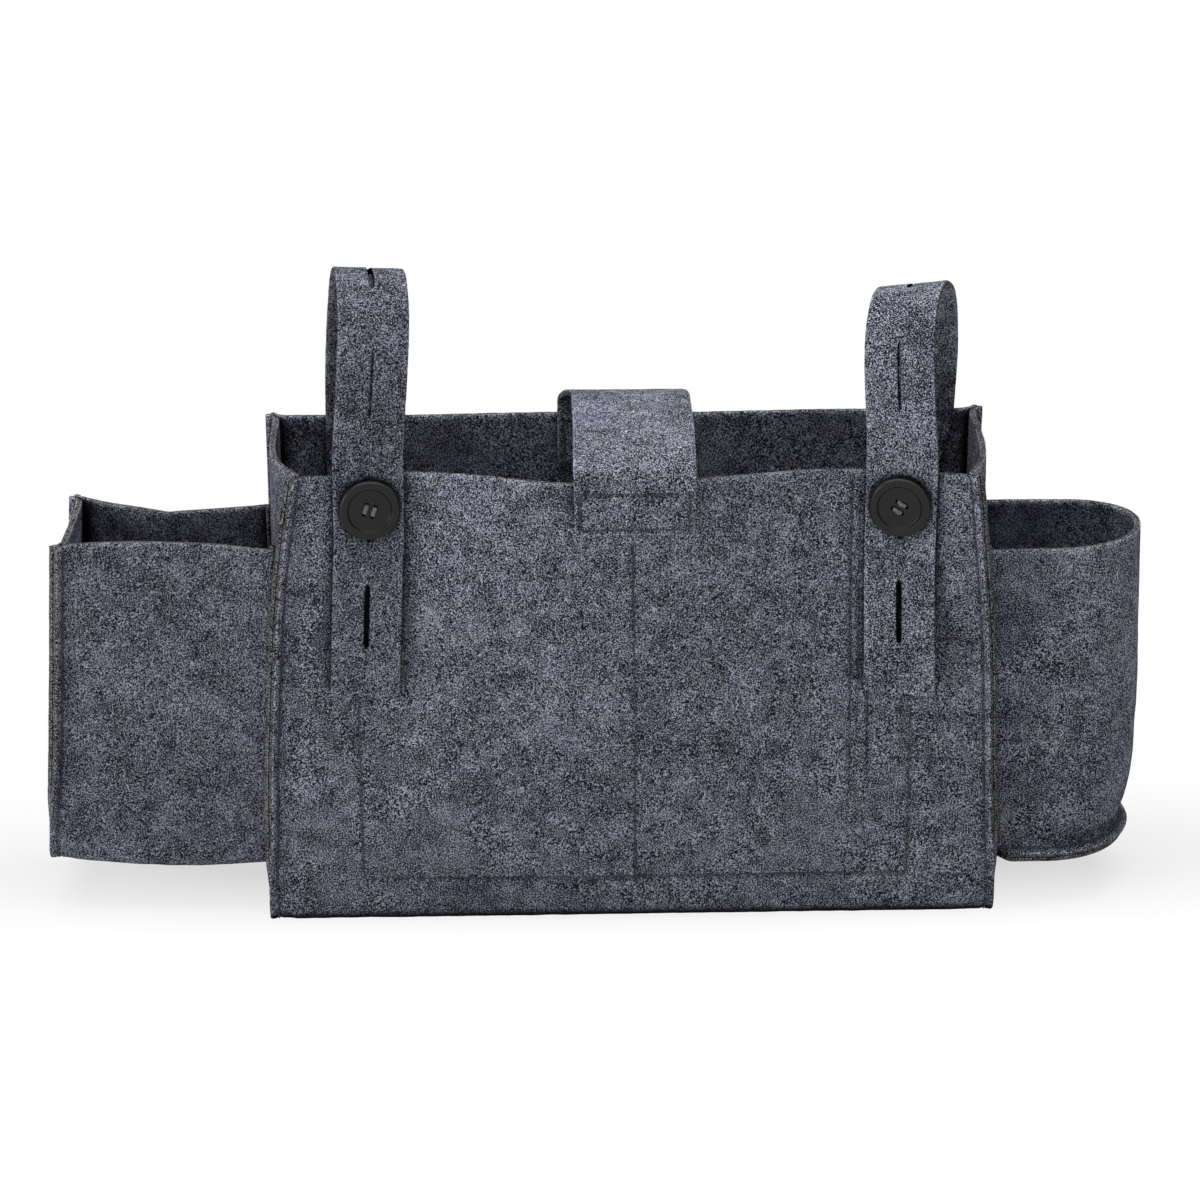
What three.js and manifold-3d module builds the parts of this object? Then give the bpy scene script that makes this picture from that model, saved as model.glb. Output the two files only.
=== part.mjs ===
// A felt bedside caddy: a main bag with an organizer panel inside, a side pocket at each end, two
// hanging straps that button at the front and a closure flap.
// Millimetres, +Z up. The front faces -Y, and the origin is the middle of the main bag's underside.
import * as THREE from "three";
import Module from "manifold-3d";

const wasm = await Module();
wasm.setup();

// Felt and its seams. Both layers of a seam stand out of the bag, one against the other.
const felt = 3;
const layerGap = 0.3;
const seamAllowance = 8;
const seamFlare = THREE.MathUtils.degToRad(45);
const wallFlare = THREE.MathUtils.degToRad(62);
const flareHeight = 45;
const layerPitch = felt + layerGap;
const seamPitch = layerPitch + layerGap / 2;

// Main bag
const bodyWidth = 350;
const bodyDepth = 110;
const bodyHeight = 237;
const backDrop = 2;
const foldRadius = 7;
const leftTuck = 18;
const rightTuck = 13;
const rimBulge = 17;

// Organizer panel inside the front
const organizerWidth = 273;
const organizerMiddle = 2;
const organizerBottom = 24;
const organizerDrop = 29;
const organizerHem = 4;
const organizerBow = 15;

// Left side pocket, a box that has sagged in at the middle of its back
const leftPocketReach = 112;
const leftPocketTaper = 10;
const leftPocketSag = 3;
const leftPocketFrontInset = 10;
const leftPocketBackInset = 24;
const leftPocketBottom = 27;
const leftPocketDrop = 41;
const leftPocketSkew = 9;
const leftPocketRimSkew = 5;
const leftPocketFrontDent = 8;
const leftPocketBackDent = 20;

// Right side pocket, D-shaped from above
const rightPocketReach = 81;
const rightPocketFrontInset = 9;
const rightPocketBackInset = 23;
const rightPocketBottom = 34;
const rightPocketDrop = 45;
const rightPocketFrontRoundShare = 0.6;
const rightPocketBackRoundShare = 0.385;
const rightPocketTaper = 6;

// Straps, their buttonholes and their buttons
const strapWidth = 34;
const strapInset = 45;
const strapTailDrop = 112;
const strapRootDrop = 35;
const slitLength = 32;
const slitWidth = 2.4;
const firstSlit = 41;
const slitPitch = 53.5;
const buttonDrop = 16;
const buttonDiameter = 30;
const buttonThickness = 4;
const buttonRimWidth = 5.4;
const buttonRecess = 1.5;
const buttonHoleDiameter = 2.3;
const buttonHolePitch = 4.2;
const threadDiameter = 1.7;

// Each strap: how far its tail, its button, the loop's front and rear leg and its sewn end lie from
// the strap's place across the bag, how the sewn end leans, how high it arches over the rim and how
// much higher its right edge is there, how far the tail's right edge stands off, and the step to the
// upper slits. Each loop is splayed: its rear leg lies further out than its front one.
const leftStrapSizes = {
  side: "left",
  tailStep: -2,
  buttonStep: 3.8,
  frontStep: 10.8,
  rearStep: -3.4,
  rootStep: -5.4,
  rootLeanShare: 0,
  rise: 91.5,
  topTilt: -3,
  tailLift: 7,
  upperSlitPitch: 62.5,
};
const rightStrapSizes = {
  side: "right",
  tailStep: 2,
  buttonStep: 1.9,
  frontStep: -3.6,
  rearStep: 27,
  rootStep: 21.2,
  rootLeanShare: 0.26,
  rise: 80.5,
  topTilt: 5.2,
  tailLift: 13,
  upperSlitPitch: 64.5,
};

// Closure flap and its hook-and-loop tapes
const flapWidth = 57;
const flapRootWidth = 60;
const flapX = 2.4;
const flapRootX = -4.5;
const flapRise = 15;
const flapDrop = 24;
const flapRootDrop = 28;
const hingeRise = 4.5;
const hingeGap = 1;
const tapeThickness = 1.8;
const tapeWidth = 55;
const tapeHeight = 21.5;
const tapeMargin = 1.2;

// Sewing thread that lies on the felt
const stitchDiameter = 0.7;
const stitchInset = 3.6;

// Sizes that follow from the ones above
const frontY = -(bodyDepth - felt) / 2;
const backY = (bodyDepth - felt) / 2;
const insideBackY = backY - layerPitch;
const organizerTop = bodyHeight - organizerDrop;
const leftPocketFront = leftPocketFrontInset - bodyDepth / 2;
const leftPocketBack = bodyDepth / 2 - leftPocketBackInset;
const rightPocketFront = rightPocketFrontInset - bodyDepth / 2;
const rightPocketBack = bodyDepth / 2 - rightPocketBackInset;
const leftPocketTop = bodyHeight - leftPocketDrop;
const rightPocketTop = bodyHeight - rightPocketDrop;
const strapTailEnd = bodyHeight - strapTailDrop;
const strapRootEnd = bodyHeight - strapRootDrop;
const buttonHeight = bodyHeight - buttonDrop;
const flapEnd = bodyHeight - flapDrop;
const flapRootEnd = bodyHeight - flapRootDrop;
const slitHalf = slitWidth / 2;
const weld = felt / 1000;
const quarterTurn = Math.PI / 2;

const clamp = (value) => Math.min(1, Math.max(0, value));
const lerp = THREE.MathUtils.lerp;
const smooth = (value) => clamp(value) ** 2 * (3 - 2 * clamp(value));
const hump = (share) => 4 * share * (1 - share);
const vector = (x, y, z) => new THREE.Vector3(x, y, z);
const shifted = (point, direction, distance) => point.clone().addScaledVector(direction, distance);

// The value at a place in a table of [place, value] pairs, straight between them.
function tabled(table, place) {
  const last = table.length - 2;
  let k = 0;
  while (k < last && place > table[k + 1][0]) k += 1;
  const [start, from] = table[k];
  const [end, to] = table[k + 1];
  return lerp(from, to, (place - start) / (end - start));
}

// A sheet of felt or tape: the triangles of its middle surface, thickened into a closed solid.
class Sheet {
  constructor() {
    this.points = [];
    this.faces = [];
    this.places = new Map();
  }

  point(p) {
    const key = [p.x, p.y, p.z].map((value) => Math.round(value / weld)).join();
    if (!this.places.has(key)) {
      this.places.set(key, this.points.length);
      this.points.push(p.clone());
    }
    return this.places.get(key);
  }

  face(a, b, c) {
    const corners = [a, b, c].map((p) => this.point(p));
    if (new Set(corners).size === 3) this.faces.push(corners);
  }

  quad(a, b, c, d) {
    this.face(a, b, c);
    this.face(a, c, d);
  }

  // Rows of points, each joined to the next. keep(i, j) says whether the cell after row i and
  // column j is there.
  grid(rows, keep = () => true) {
    for (let i = 0; i + 1 < rows.length; i += 1) {
      for (let j = 0; j + 1 < rows[i].length; j += 1) {
        if (keep(i, j)) this.quad(rows[i][j], rows[i][j + 1], rows[i + 1][j + 1], rows[i + 1][j]);
      }
    }
    return this;
  }

  // Turns faces round until neighbours agree which side is up.
  turnAlike() {
    const edges = new Map();
    this.faces.forEach((face, f) => {
      face.forEach((a, k) => {
        const b = face[(k + 1) % 3];
        const key = `${Math.min(a, b)},${Math.max(a, b)}`;
        if (!edges.has(key)) edges.set(key, []);
        edges.get(key).push(f);
      });
    });
    const runs = (face, a, b) => face.some((corner, k) => corner === a && face[(k + 1) % 3] === b);
    const seen = new Set([0]);
    const queue = [0];
    while (queue.length > 0) {
      const face = this.faces[queue.pop()];
      face.forEach((a, k) => {
        const b = face[(k + 1) % 3];
        for (const f of edges.get(`${Math.min(a, b)},${Math.max(a, b)}`)) {
          if (!seen.has(f)) {
            seen.add(f);
            queue.push(f);
            if (runs(this.faces[f], a, b)) this.faces[f].reverse();
          }
        }
      });
    }
  }

  // Each corner moves until it is half the thickness from every face round it.
  halfWalls(thickness) {
    const sums = this.points.map(() => ({ outer: new Array(9).fill(0), normal: vector(0, 0, 0) }));
    const steadyShare = 1e-4;
    for (const face of this.faces) {
      const [a, b, c] = face.map((corner) => this.points[corner]);
      const n = b.clone().sub(a).cross(c.clone().sub(a)).normalize();
      for (const corner of face) {
        const { outer, normal } = sums[corner];
        const parts = [n.x, n.y, n.z];
        parts.forEach((p, i) => parts.forEach((q, j) => (outer[3 * i + j] += p * q)));
        normal.add(n);
      }
    }
    return sums.map(({ outer, normal }) => {
      const damped = outer.map((value, k) => value + (k % 4 === 0 ? steadyShare : 0));
      const solve = new THREE.Matrix3().fromArray(damped).invert();
      return normal.clone().multiplyScalar(thickness / 2).applyMatrix3(solve);
    });
  }

  thicken(thickness) {
    this.turnAlike();
    const halves = this.halfWalls(thickness);
    const top = this.points.map((p, k) => p.clone().add(halves[k]));
    const bottom = this.points.map((p, k) => p.clone().sub(halves[k]));
    const soup = [];
    const used = new Set();
    for (const [a, b, c] of this.faces) {
      soup.push(top[a], top[b], top[c], bottom[c], bottom[b], bottom[a]);
      [[a, b], [b, c], [c, a]].forEach(([from, to]) => used.add(`${from},${to}`));
    }
    for (const edge of used) {
      const [a, b] = edge.split(",").map(Number);
      if (!used.has(`${b},${a}`)) {
        soup.push(top[b], top[a], bottom[a], top[b], bottom[a], bottom[b]);
      }
    }
    return faceOut(soup);
  }
}

// A closed geometry from its triangles' corners, turned so that its faces point out.
function faceOut(corners) {
  let volume = 0;
  for (let k = 0; k < corners.length; k += 3) {
    volume += corners[k].dot(corners[k + 1].clone().cross(corners[k + 2]));
  }
  const facing = volume < 0 ? corners.slice().reverse() : corners;
  return new THREE.BufferGeometry().setFromPoints(facing);
}

// Materials
const feltLook = (color) => new THREE.MeshStandardMaterial({ color, roughness: 0.95, metalness: 0 });
const charcoalFelt = feltLook(0x54575f);
const palerFelt = feltLook(0x666970);
const tapeLook = new THREE.MeshStandardMaterial({ color: 0x2b2c2f, roughness: 0.9, metalness: 0 });
const blackPlastic = new THREE.MeshStandardMaterial({ color: 0x141415, roughness: 0.4, metalness: 0 });
const darkThread = new THREE.MeshStandardMaterial({ color: 0x26272a, roughness: 0.7, metalness: 0 });
const greyThread = new THREE.MeshStandardMaterial({ color: 0x8b8d90, roughness: 0.6, metalness: 0 });

const caddy = new THREE.Group();

function addPart(name, geometry, material) {
  const mesh = new THREE.Mesh(geometry, material);
  mesh.name = name;
  caddy.add(mesh);
}

// A thread that lies along points on a surface: each stop has its place and the way off the
// surface. It is four-sided, and its middle line is kept.
function threadAlong(stops) {
  const radius = stitchDiameter / 2;
  const rings = stops.map(({ at, off }, k) => {
    const before = stops[Math.max(0, k - 1)].at;
    const after = stops[Math.min(stops.length - 1, k + 1)].at;
    const along = after.clone().sub(before).normalize();
    const side = along.clone().cross(off).normalize();
    const up = side.clone().cross(along);
    return [[side, radius], [up, radius], [side, -radius], [up, -radius]].map(([way, reach]) =>
      shifted(at, way, reach),
    );
  });
  const soup = [];
  for (let k = 0; k + 1 < rings.length; k += 1) {
    for (let s = 0; s < 4; s += 1) {
      const next = (s + 1) % 4;
      const [a, b, c, d] = [rings[k][s], rings[k][next], rings[k + 1][next], rings[k + 1][s]];
      soup.push(a, b, c, a, c, d);
    }
  }
  const [first, last] = [rings[0], rings[rings.length - 1]];
  soup.push(first[0], first[2], first[1], first[0], first[3], first[2]);
  soup.push(last[0], last[1], last[2], last[0], last[2], last[3]);
  return faceOut(soup);
}

// Where a thread of stitchDiameter lies on a layer whose middle passes through the point.
const threadLift = felt / 2 + layerGap + stitchDiameter;
const onFelt = (point, off) => ({ at: shifted(point, off, threadLift), off });

// Rows of a panel that runs down a front, under a base and up a back. Each row has the middle of
// the felt, its angle (0 at the front, a quarter turn at the base), the way out of the bag and how
// far it has climbed above the fold.
const foldSteps = 4;
const baseRowShares = [0.3, 0.7];

function wrapRows(front, back, base, heights, backHeights = heights) {
  const row = (y, z, angle, isFloor = false) => ({
    y,
    z,
    angle,
    isFloor,
    out: vector(0, -Math.cos(angle), -Math.sin(angle)),
    climb: z - base - foldRadius,
  });
  const half = (y, way, places) => {
    const rows = places.map((z) => row(y, z, 0));
    for (let k = 0; k <= foldSteps; k += 1) {
      const angle = (quarterTurn * k) / foldSteps;
      const inset = foldRadius - foldRadius * Math.cos(angle);
      rows.push(row(y + way * inset, base + foldRadius - foldRadius * Math.sin(angle), angle));
    }
    return rows;
  };
  const backHalf = half(back, -1, backHeights).map((r) => row(r.y, r.z, Math.PI - r.angle));
  const floor = baseRowShares.map((share) =>
    row(lerp(front + foldRadius, back - foldRadius, share), base, quarterTurn, true),
  );
  return [...half(front, 1, heights), ...floor, ...backHalf.reverse()];
}

// The directions of a seam edge at a row: along the standing layers, and from the inner layer to
// the outer one. The seam lies flat at the base and stands out at front and back.
function seamWays(row, side) {
  const flare = seamFlare * smooth(row.climb / flareHeight);
  const outward = vector(side, 0, 0);
  return {
    along: outward.clone().multiplyScalar(Math.cos(flare)).addScaledVector(row.out, Math.sin(flare)),
    apart: row.out.clone().multiplyScalar(Math.cos(flare)).addScaledVector(outward, -Math.sin(flare)),
  };
}

// A bag of this kind: rows of its long panel, edge(row, side) where the panel turns into its seam
// edge, and how sharply each gusset's front is curled in.
const gussetEdge = (bag, row, side) =>
  shifted(bag.edge(row, side), seamWays(row, side).apart, -seamPitch);

// The standing edge of a seam, beyond the line where its layer bends out.
const standingEdge = (bag, side, bends) =>
  bag.rows.map((row, k) => [bends[k], shifted(bends[k], seamWays(row, side).along, seamAllowance)]);

function gussetSheet(bag, side, curl) {
  const sheet = new Sheet();
  const edges = bag.rows.map((row) => gussetEdge(bag, row, side));
  sheet.grid(standingEdge(bag, side, edges));
  const corner = bag.heights.length + foldSteps / 2;
  const last = bag.rows.length - 1;
  const floor = edges.slice(corner, last - corner + 1);
  const wallStart = bag.heights.length;
  const start = edges[wallStart].y;
  const end = edges[last - wallStart].y;
  const rows = [floor];
  for (let k = corner - 1; k >= 0; k -= 1) {
    const wall = Math.min(k, wallStart);
    const front = edges[wall];
    const back = edges[last - wall];
    rows.push(
      floor.map((place, i) => {
        if (i === 0) return edges[k];
        if (i === floor.length - 1) return edges[last - k];
        const share = (place.y - start) / (end - start);
        const x = lerp(back.x, front.x, (1 - share) ** curl);
        return vector(x, lerp(front.y, back.y, share), edges[k].z);
      }),
    );
  }
  return sheet.grid(rows);
}

// The thread of a gusset's seam, on the gusset's side of the standing edge.
const gussetThread = (bag, side) =>
  bag.rows.map((row) => {
    const { along, apart } = seamWays(row, side);
    return onFelt(shifted(gussetEdge(bag, row, side), along, stitchInset), apart.clone().negate());
  });

// Main bag. The front's rim waves: it bulges at the middle, lies flat under each strap and is
// drawn in at its two top corners. Places are shares of half the front's width.
const rimWaveShares = [
  [-1, 0], [-0.92, -0.06], [-0.67, -0.35], [-0.53, -0.12], [-0.39, 0.35], [-0.25, 0.82],
  [-0.11, 1], [0.08, 0.88], [0.2, 0.6], [0.39, 0.15], [0.55, -0.13], [0.7, -0.12],
  [0.95, 0.47], [1, 0.6],
];
const tuckPower = 2.4;
const wavePower = 1.6;
const bodyHeightShares = [1, 0.965, 0.867, 0.78, 0.66, 0.52, 0.36, 0.2, 0.15, 0.105];
const holeHalf = threadDiameter;
const bodyHeights = [
  ...bodyHeightShares.map((share) => bodyHeight * share),
  buttonHeight + holeHalf,
  buttonHeight - holeHalf,
].sort((a, b) => b - a);

const isFront = (row) => row.angle < quarterTurn;
const tuckAt = (side, z) => (side < 0 ? leftTuck : rightTuck) * (z / bodyHeight) ** tuckPower;
const frontEdgeX = (side, z) => side * (bodyWidth / 2 - tuckAt(side, z));
const waveAt = (share, z) => rimBulge * tabled(rimWaveShares, share) * (z / bodyHeight) ** wavePower;

// The middle of the front's felt at a share of its width, and at a place across it.
const frontShare = (x, z) =>
  (2 * (x - frontEdgeX(-1, z))) / (frontEdgeX(1, z) - frontEdgeX(-1, z)) - 1;
const frontX = (share, z) => lerp(frontEdgeX(-1, z), frontEdgeX(1, z), (share + 1) / 2);
const frontYAt = (x, z) => frontY - waveAt(frontShare(x, z), z);
const frontPoint = (share, z) => vector(frontX(share, z), frontY - waveAt(share, z), z);

const body = {
  heights: bodyHeights,
  rows: wrapRows(
    frontY, backY, felt / 2, bodyHeights,
    bodyHeights.map((z) => z * (1 - backDrop / bodyHeight)),
  ),
  edge: (row, side) =>
    isFront(row) ? frontPoint(side, row.z).setY(row.y - waveAt(side, row.z))
      : vector((side * bodyWidth) / 2, row.y, row.z),
};

const gussetCurl = 4;

// A strap's places across the bag.
const strapAt = (middleX, strap) => ({
  ...strap,
  tailX: middleX + strap.tailStep,
  buttonX: middleX + strap.buttonStep,
  frontX: middleX + strap.frontStep,
  rearX: middleX + strap.rearStep,
  rootX: middleX + strap.rootStep,
});
const leftStrap = strapAt(strapInset - bodyWidth / 2, leftStrapSizes);
const rightStrap = strapAt(bodyWidth / 2 - strapInset, rightStrapSizes);
const straps = [leftStrap, rightStrap];

// The body panel: columns at each bend of the rim's wave and beside each thread hole.
const holeShares = straps.map(({ buttonX }) =>
  [-holeHalf, holeHalf].map((step) => frontShare(buttonX + step, buttonHeight)),
);
const bodyColumnShares = [...rimWaveShares.map(([share]) => share), ...holeShares.flat()].sort(
  (a, b) => a - b,
);
const bodyGrid = body.rows.map((row) => {
  const [left, right] = [-1, 1].map((side) => body.edge(row, side));
  return bodyColumnShares.map((share) => {
    const x = lerp(left.x, right.x, (share + 1) / 2);
    return vector(x, row.y - (isFront(row) ? waveAt(share, row.z) : 0), row.z);
  });
});
const holeRow = bodyHeights.indexOf(buttonHeight + holeHalf);
const holeColumns = holeShares.map(([share]) => bodyColumnShares.indexOf(share));
const bodySheet = new Sheet().grid(
  bodyGrid,
  (i, j) => i !== holeRow || !holeColumns.includes(j),
);
for (const side of [-1, 1]) {
  const bends = body.rows.map((row) => body.edge(row, side));
  bodySheet.grid(standingEdge(body, side, bends));
}
addPart("body_panel", bodySheet.thicken(felt), charcoalFelt);
addPart("left_gusset", gussetSheet(body, -1, gussetCurl).thicken(felt), charcoalFelt);
addPart("right_gusset", gussetSheet(body, 1, gussetCurl).thicken(felt), charcoalFelt);
addPart("left_gusset_stitching", threadAlong(gussetThread(body, -1)), darkThread);
addPart("right_gusset_stitching", threadAlong(gussetThread(body, 1)), darkThread);

// The middle of a main gusset's felt at a place along the bag's depth and height.
function gussetX(side, y, z) {
  const [wall] = body.rows;
  const offset = seamWays(wall, side).apart.clone().multiplyScalar(-seamPitch);
  const front = frontPoint(side, z).add(offset);
  const back = vector((side * bodyWidth) / 2 + offset.x, backY + offset.y * -1, z);
  const share = clamp((y - front.y) / (back.y - front.y));
  return lerp(back.x, front.x, (1 - share) ** gussetCurl);
}

// A place on a layer that lies outside a main gusset.
const layerSlantShare = 1.06;
const onGusset = (side, y, z) =>
  vector(gussetX(side, y, z) + side * layerPitch * layerSlantShare, y, z);

// Organizer panel: sewn down at its sides, its bottom and its middle, it bows away from the front
// between those lines, so that its two cells stand open.
const organizerGap = layerPitch * layerSlantShare;
const organizerLines = [-1, 0, 1].map((step) => organizerMiddle + (step * organizerWidth) / 2);
const bowShares = [0.14, 0.32, 0.5, 0.68, 0.86];
const organizerHeightShares = [0, 0.045, 0.14, 0.3, 0.5, 0.75, 1];

function organizerPoint(x, z) {
  const [left, middle, right] = organizerLines;
  const [start, end] = x < middle ? [left, middle] : [middle, right];
  const inset = organizerHem;
  const share = clamp((x - start - inset) / (end - start - 2 * inset));
  const open = smooth((z - organizerBottom - 2 * organizerHem) / (organizerTop / 4));
  const bow = organizerBow * Math.sin(Math.PI * share) * open;
  return vector(x, frontYAt(x, z) + organizerGap + bow, z);
}

const organizerColumns = organizerLines.flatMap((line, k) => {
  const hem = [line - organizerHem, line + organizerHem];
  if (k === 2) return hem;
  const end = organizerLines[k + 1] - organizerHem;
  return [...hem, ...bowShares.map((share) => lerp(hem[1], end, share))];
});
const organizerBase = organizerBottom - organizerHem;
const organizerRows = organizerHeightShares.map((share) => {
  const z = lerp(organizerBase, organizerTop, share);
  return organizerColumns.map((x) => organizerPoint(x, z));
});
addPart("organizer_panel", new Sheet().grid(organizerRows).thicken(felt), charcoalFelt);

const inward = vector(0, 1, 0);
const outFront = vector(0, -1, 0);
const organizerStop = (x, z) => onFelt(organizerPoint(x, z), inward);
const stitchEnd = organizerTop - organizerHem;
const sideStitchShares = [0, 0.2, 0.4, 0.6, 0.8];
const risingStops = (x, from, to) =>
  [...sideStitchShares, 1].map((share) => organizerStop(x, lerp(from, to, share)));
const [leftLine, middleLine, rightLine] = organizerLines;
addPart(
  "organizer_edge_stitching",
  threadAlong([
    ...risingStops(leftLine, stitchEnd, organizerBottom),
    ...organizerColumns
      .filter((x) => x > leftLine + organizerHem && x < rightLine - organizerHem)
      .map((x) => organizerStop(x, organizerBottom)),
    ...risingStops(rightLine, organizerBottom, stitchEnd),
  ]),
  darkThread,
);
addPart(
  "organizer_middle_stitching",
  threadAlong(risingStops(middleLine, organizerBottom + stitchInset, stitchEnd)),
  darkThread,
);

// Left side pocket. Its long panel is skewed a little and gives at mid-width, most at the rim: its
// front in a bow, its back in a crease.
const leftPocketHeightShares = [1, 0.8, 0.55, 0.3, 0.21, 0.145];
const leftPocketHeights = leftPocketHeightShares.map((share) =>
  lerp(leftPocketBottom, leftPocketTop, share),
);
const pocketInset = layerPitch * layerSlantShare;
const leftPocket = {
  heights: leftPocketHeights,
  rows: wrapRows(
    leftPocketFront + felt / 2,
    leftPocketBack - felt / 2,
    leftPocketBottom + felt / 2,
    leftPocketHeights,
  ),
};
const creaseShare = 0.53;
const creasePower = 0.85;
const creased = (share) =>
  Math.min(share / creaseShare, (1 - share) / (1 - creaseShare)) ** creasePower;
const pocketRise = (z) => clamp((z - leftPocketBottom) / (leftPocketTop - leftPocketBottom));

// A place on the pocket's panel: 0 beside the bag, 1 at the outer seam.
function leftPocketPoint(row, share) {
  const rise = pocketRise(row.z);
  const frontGive = leftPocketFrontDent * hump(share);
  const backGive = -leftPocketBackDent * creased(share);
  const give = row.angle === quarterTurn ? 0 : rise * (isFront(row) ? frontGive : backGive);
  const y = row.y + (leftPocketSkew + leftPocketRimSkew * rise) * share + give;
  const inner = gussetX(-1, y, row.z) - pocketInset;
  const outer = -bodyWidth / 2 - leftPocketReach + leftPocketTaper * rise;
  const sag = hump(share) * leftPocketSag * (1 - smooth(row.climb / flareHeight));
  return vector(lerp(inner, outer, share), y, row.z - sag);
}
leftPocket.edge = (row) => leftPocketPoint(row, 1);

const pocketColumnShares = [0, 0.25, creaseShare, 0.78, 1];
const pocketHem = seamAllowance;
function pocketHemPoint(side, point, out, reach) {
  const y = point.y - out.y * reach;
  const z = point.z - out.z * reach;
  return onGusset(side, y, z);
}
// At a fold the hem reaches no further than the fold's own middle.
const pocketHemReach = (row) =>
  row.climb > weld || row.isFloor ? pocketHem : Math.min(pocketHem, foldRadius);
const leftPocketGrid = leftPocket.rows.map((row) => {
  const points = pocketColumnShares.map((share) => leftPocketPoint(row, share));
  return [pocketHemPoint(-1, points[0], row.out, pocketHemReach(row)), ...points];
});
const leftPocketBends = leftPocket.rows.map((row) => leftPocket.edge(row));
addPart(
  "left_pocket_panel",
  new Sheet()
    .grid(leftPocketGrid)
    .grid(standingEdge(leftPocket, -1, leftPocketBends))
    .thicken(felt),
  charcoalFelt,
);
addPart("left_pocket_gusset", gussetSheet(leftPocket, -1, 1).thicken(felt), charcoalFelt);
addPart("left_pocket_gusset_stitching", threadAlong(gussetThread(leftPocket, -1)), darkThread);
addPart(
  "left_pocket_side_stitching",
  threadAlong(
    leftPocket.rows.map((row) => {
      const inner = leftPocketPoint(row, 0);
      return onFelt(pocketHemPoint(-1, inner, row.out, pocketHem / 2), vector(-1, 0, 0));
    }),
  ),
  darkThread,
);

// Right side pocket: stops round its wall, from the front of the main gusset to its back.
const wallFront = rightPocketFront + felt / 2;
const wallBack = rightPocketBack - felt / 2;
const wallReach = bodyWidth / 2 + rightPocketReach;

function arcStops(centreX, centreY, radius, from, to, steps) {
  const stops = [];
  for (let k = 0; k <= steps; k += 1) {
    const angle = lerp(from, to, k / steps);
    const out = vector(Math.cos(angle), Math.sin(angle), 0);
    stops.push({ x: centreX + radius * out.x, y: centreY + radius * out.y, out });
  }
  return stops;
}

const straightShares = [0, 0.35, 0.7];
const frontArcSteps = 5;
const backArcSteps = 6;
const frontRadius = (wallBack - wallFront) * rightPocketFrontRoundShare;
const backRadius = (wallBack - wallFront) * rightPocketBackRoundShare;
const frontArcX = wallReach - frontRadius;
const backArcX = wallReach - backRadius;
const gussetSideX = bodyWidth / 2;
const wallStops = [
  ...straightShares.map((share) => ({
    x: lerp(gussetSideX, frontArcX, share),
    y: wallFront,
    out: vector(0, -1, 0),
  })),
  ...arcStops(frontArcX, wallFront + frontRadius, frontRadius, -quarterTurn, 0, frontArcSteps),
  ...arcStops(backArcX, wallBack - backRadius, backRadius, 0, quarterTurn, backArcSteps),
  ...straightShares.toReversed().map((share) => ({
    x: lerp(gussetSideX, backArcX, share),
    y: wallBack,
    out: vector(0, 1, 0),
  })),
];

// How much of the taper there is at each share of the wall's height: the base's seam draws it in, and
// it bulges above. The first and the last stop lie on the main gusset.
const wallHeightShares = [1, 0.72, 0.36, 0.1, 0];
const wallTaperShares = [[0, 1], [0.1, 0.15], [0.36, -0.3], [0.72, -0.2], [1, 0]];
function wallPoint(stop, z) {
  const rise = (z - rightPocketBottom) / (rightPocketTop - rightPocketBottom);
  const reachShare = (stop.x - gussetSideX) / (wallReach - gussetSideX);
  const inner = gussetX(1, stop.y, z) + pocketInset;
  const taper = rightPocketTaper * tabled(wallTaperShares, rise);
  const x = stop.x === gussetSideX ? inner : stop.x - taper * reachShare;
  return vector(x, stop.y, z);
}

const leastEdgeShare = 1 / 8;
const wallSeam = (stop) => ({
  along: stop.out.clone().multiplyScalar(Math.sin(wallFlare)).add(vector(0, 0, -Math.cos(wallFlare))),
  apart: stop.out.clone().multiplyScalar(Math.cos(wallFlare)).add(vector(0, 0, Math.sin(wallFlare))),
});
const wallEdgeReach = (stop) =>
  seamAllowance *
  lerp(leastEdgeShare, 1, smooth((stop.x - gussetSideX - felt) / (2 * seamAllowance)));
const wallRows = wallHeightShares.map((share) => {
  const z = lerp(rightPocketBottom, rightPocketTop, share);
  return wallStops.map((stop) => wallPoint(stop, z));
});
const wallFoot = wallRows[wallRows.length - 1];
const wallSheet = new Sheet().grid([
  ...wallRows,
  wallFoot.map((point, k) => shifted(point, wallSeam(wallStops[k]).along, wallEdgeReach(wallStops[k]))),
]);
const [firstStop] = wallStops;
const lastStop = wallStops[wallStops.length - 1];
for (const stop of [firstStop, lastStop]) {
  const column = wallRows.map((row) => row[wallStops.indexOf(stop)]);
  wallSheet.grid(column.map((point) => [point, pocketHemPoint(1, point, stop.out, pocketHem)]));
}
addPart("right_pocket_wall", wallSheet.thicken(felt), charcoalFelt);

// The D-shaped base hangs in the wall's standing seam, and its straight side turns up on the main
// gusset between the wall's two hems.
const baseRim = wallFoot.map((point, k) => shifted(point, wallSeam(wallStops[k]).apart, -seamPitch));
const baseFrontY = baseRim[0].y + pocketHem + felt;
const baseBackY = baseRim[baseRim.length - 1].y - pocketHem - felt;
const baseZ = baseRim[0].z;
const baseSide = [baseBackY, baseFrontY].map((y) => onGusset(1, y, baseZ));
const basePlate = [...baseRim, ...baseSide];
const baseSheet = new Sheet();
const basePlan = basePlate.map((point) => new THREE.Vector2(point.x, point.y));
for (const corners of THREE.ShapeUtils.triangulateShape(basePlan, [])) {
  baseSheet.face(...corners.map((corner) => basePlate[corner]));
}
baseSheet.grid([
  baseRim,
  baseRim.map((point, k) => shifted(point, wallSeam(wallStops[k]).along, wallEdgeReach(wallStops[k]))),
]);
baseSheet.grid([baseSide, baseSide.map((point) => onGusset(1, point.y, point.z + pocketHem))]);
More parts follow.
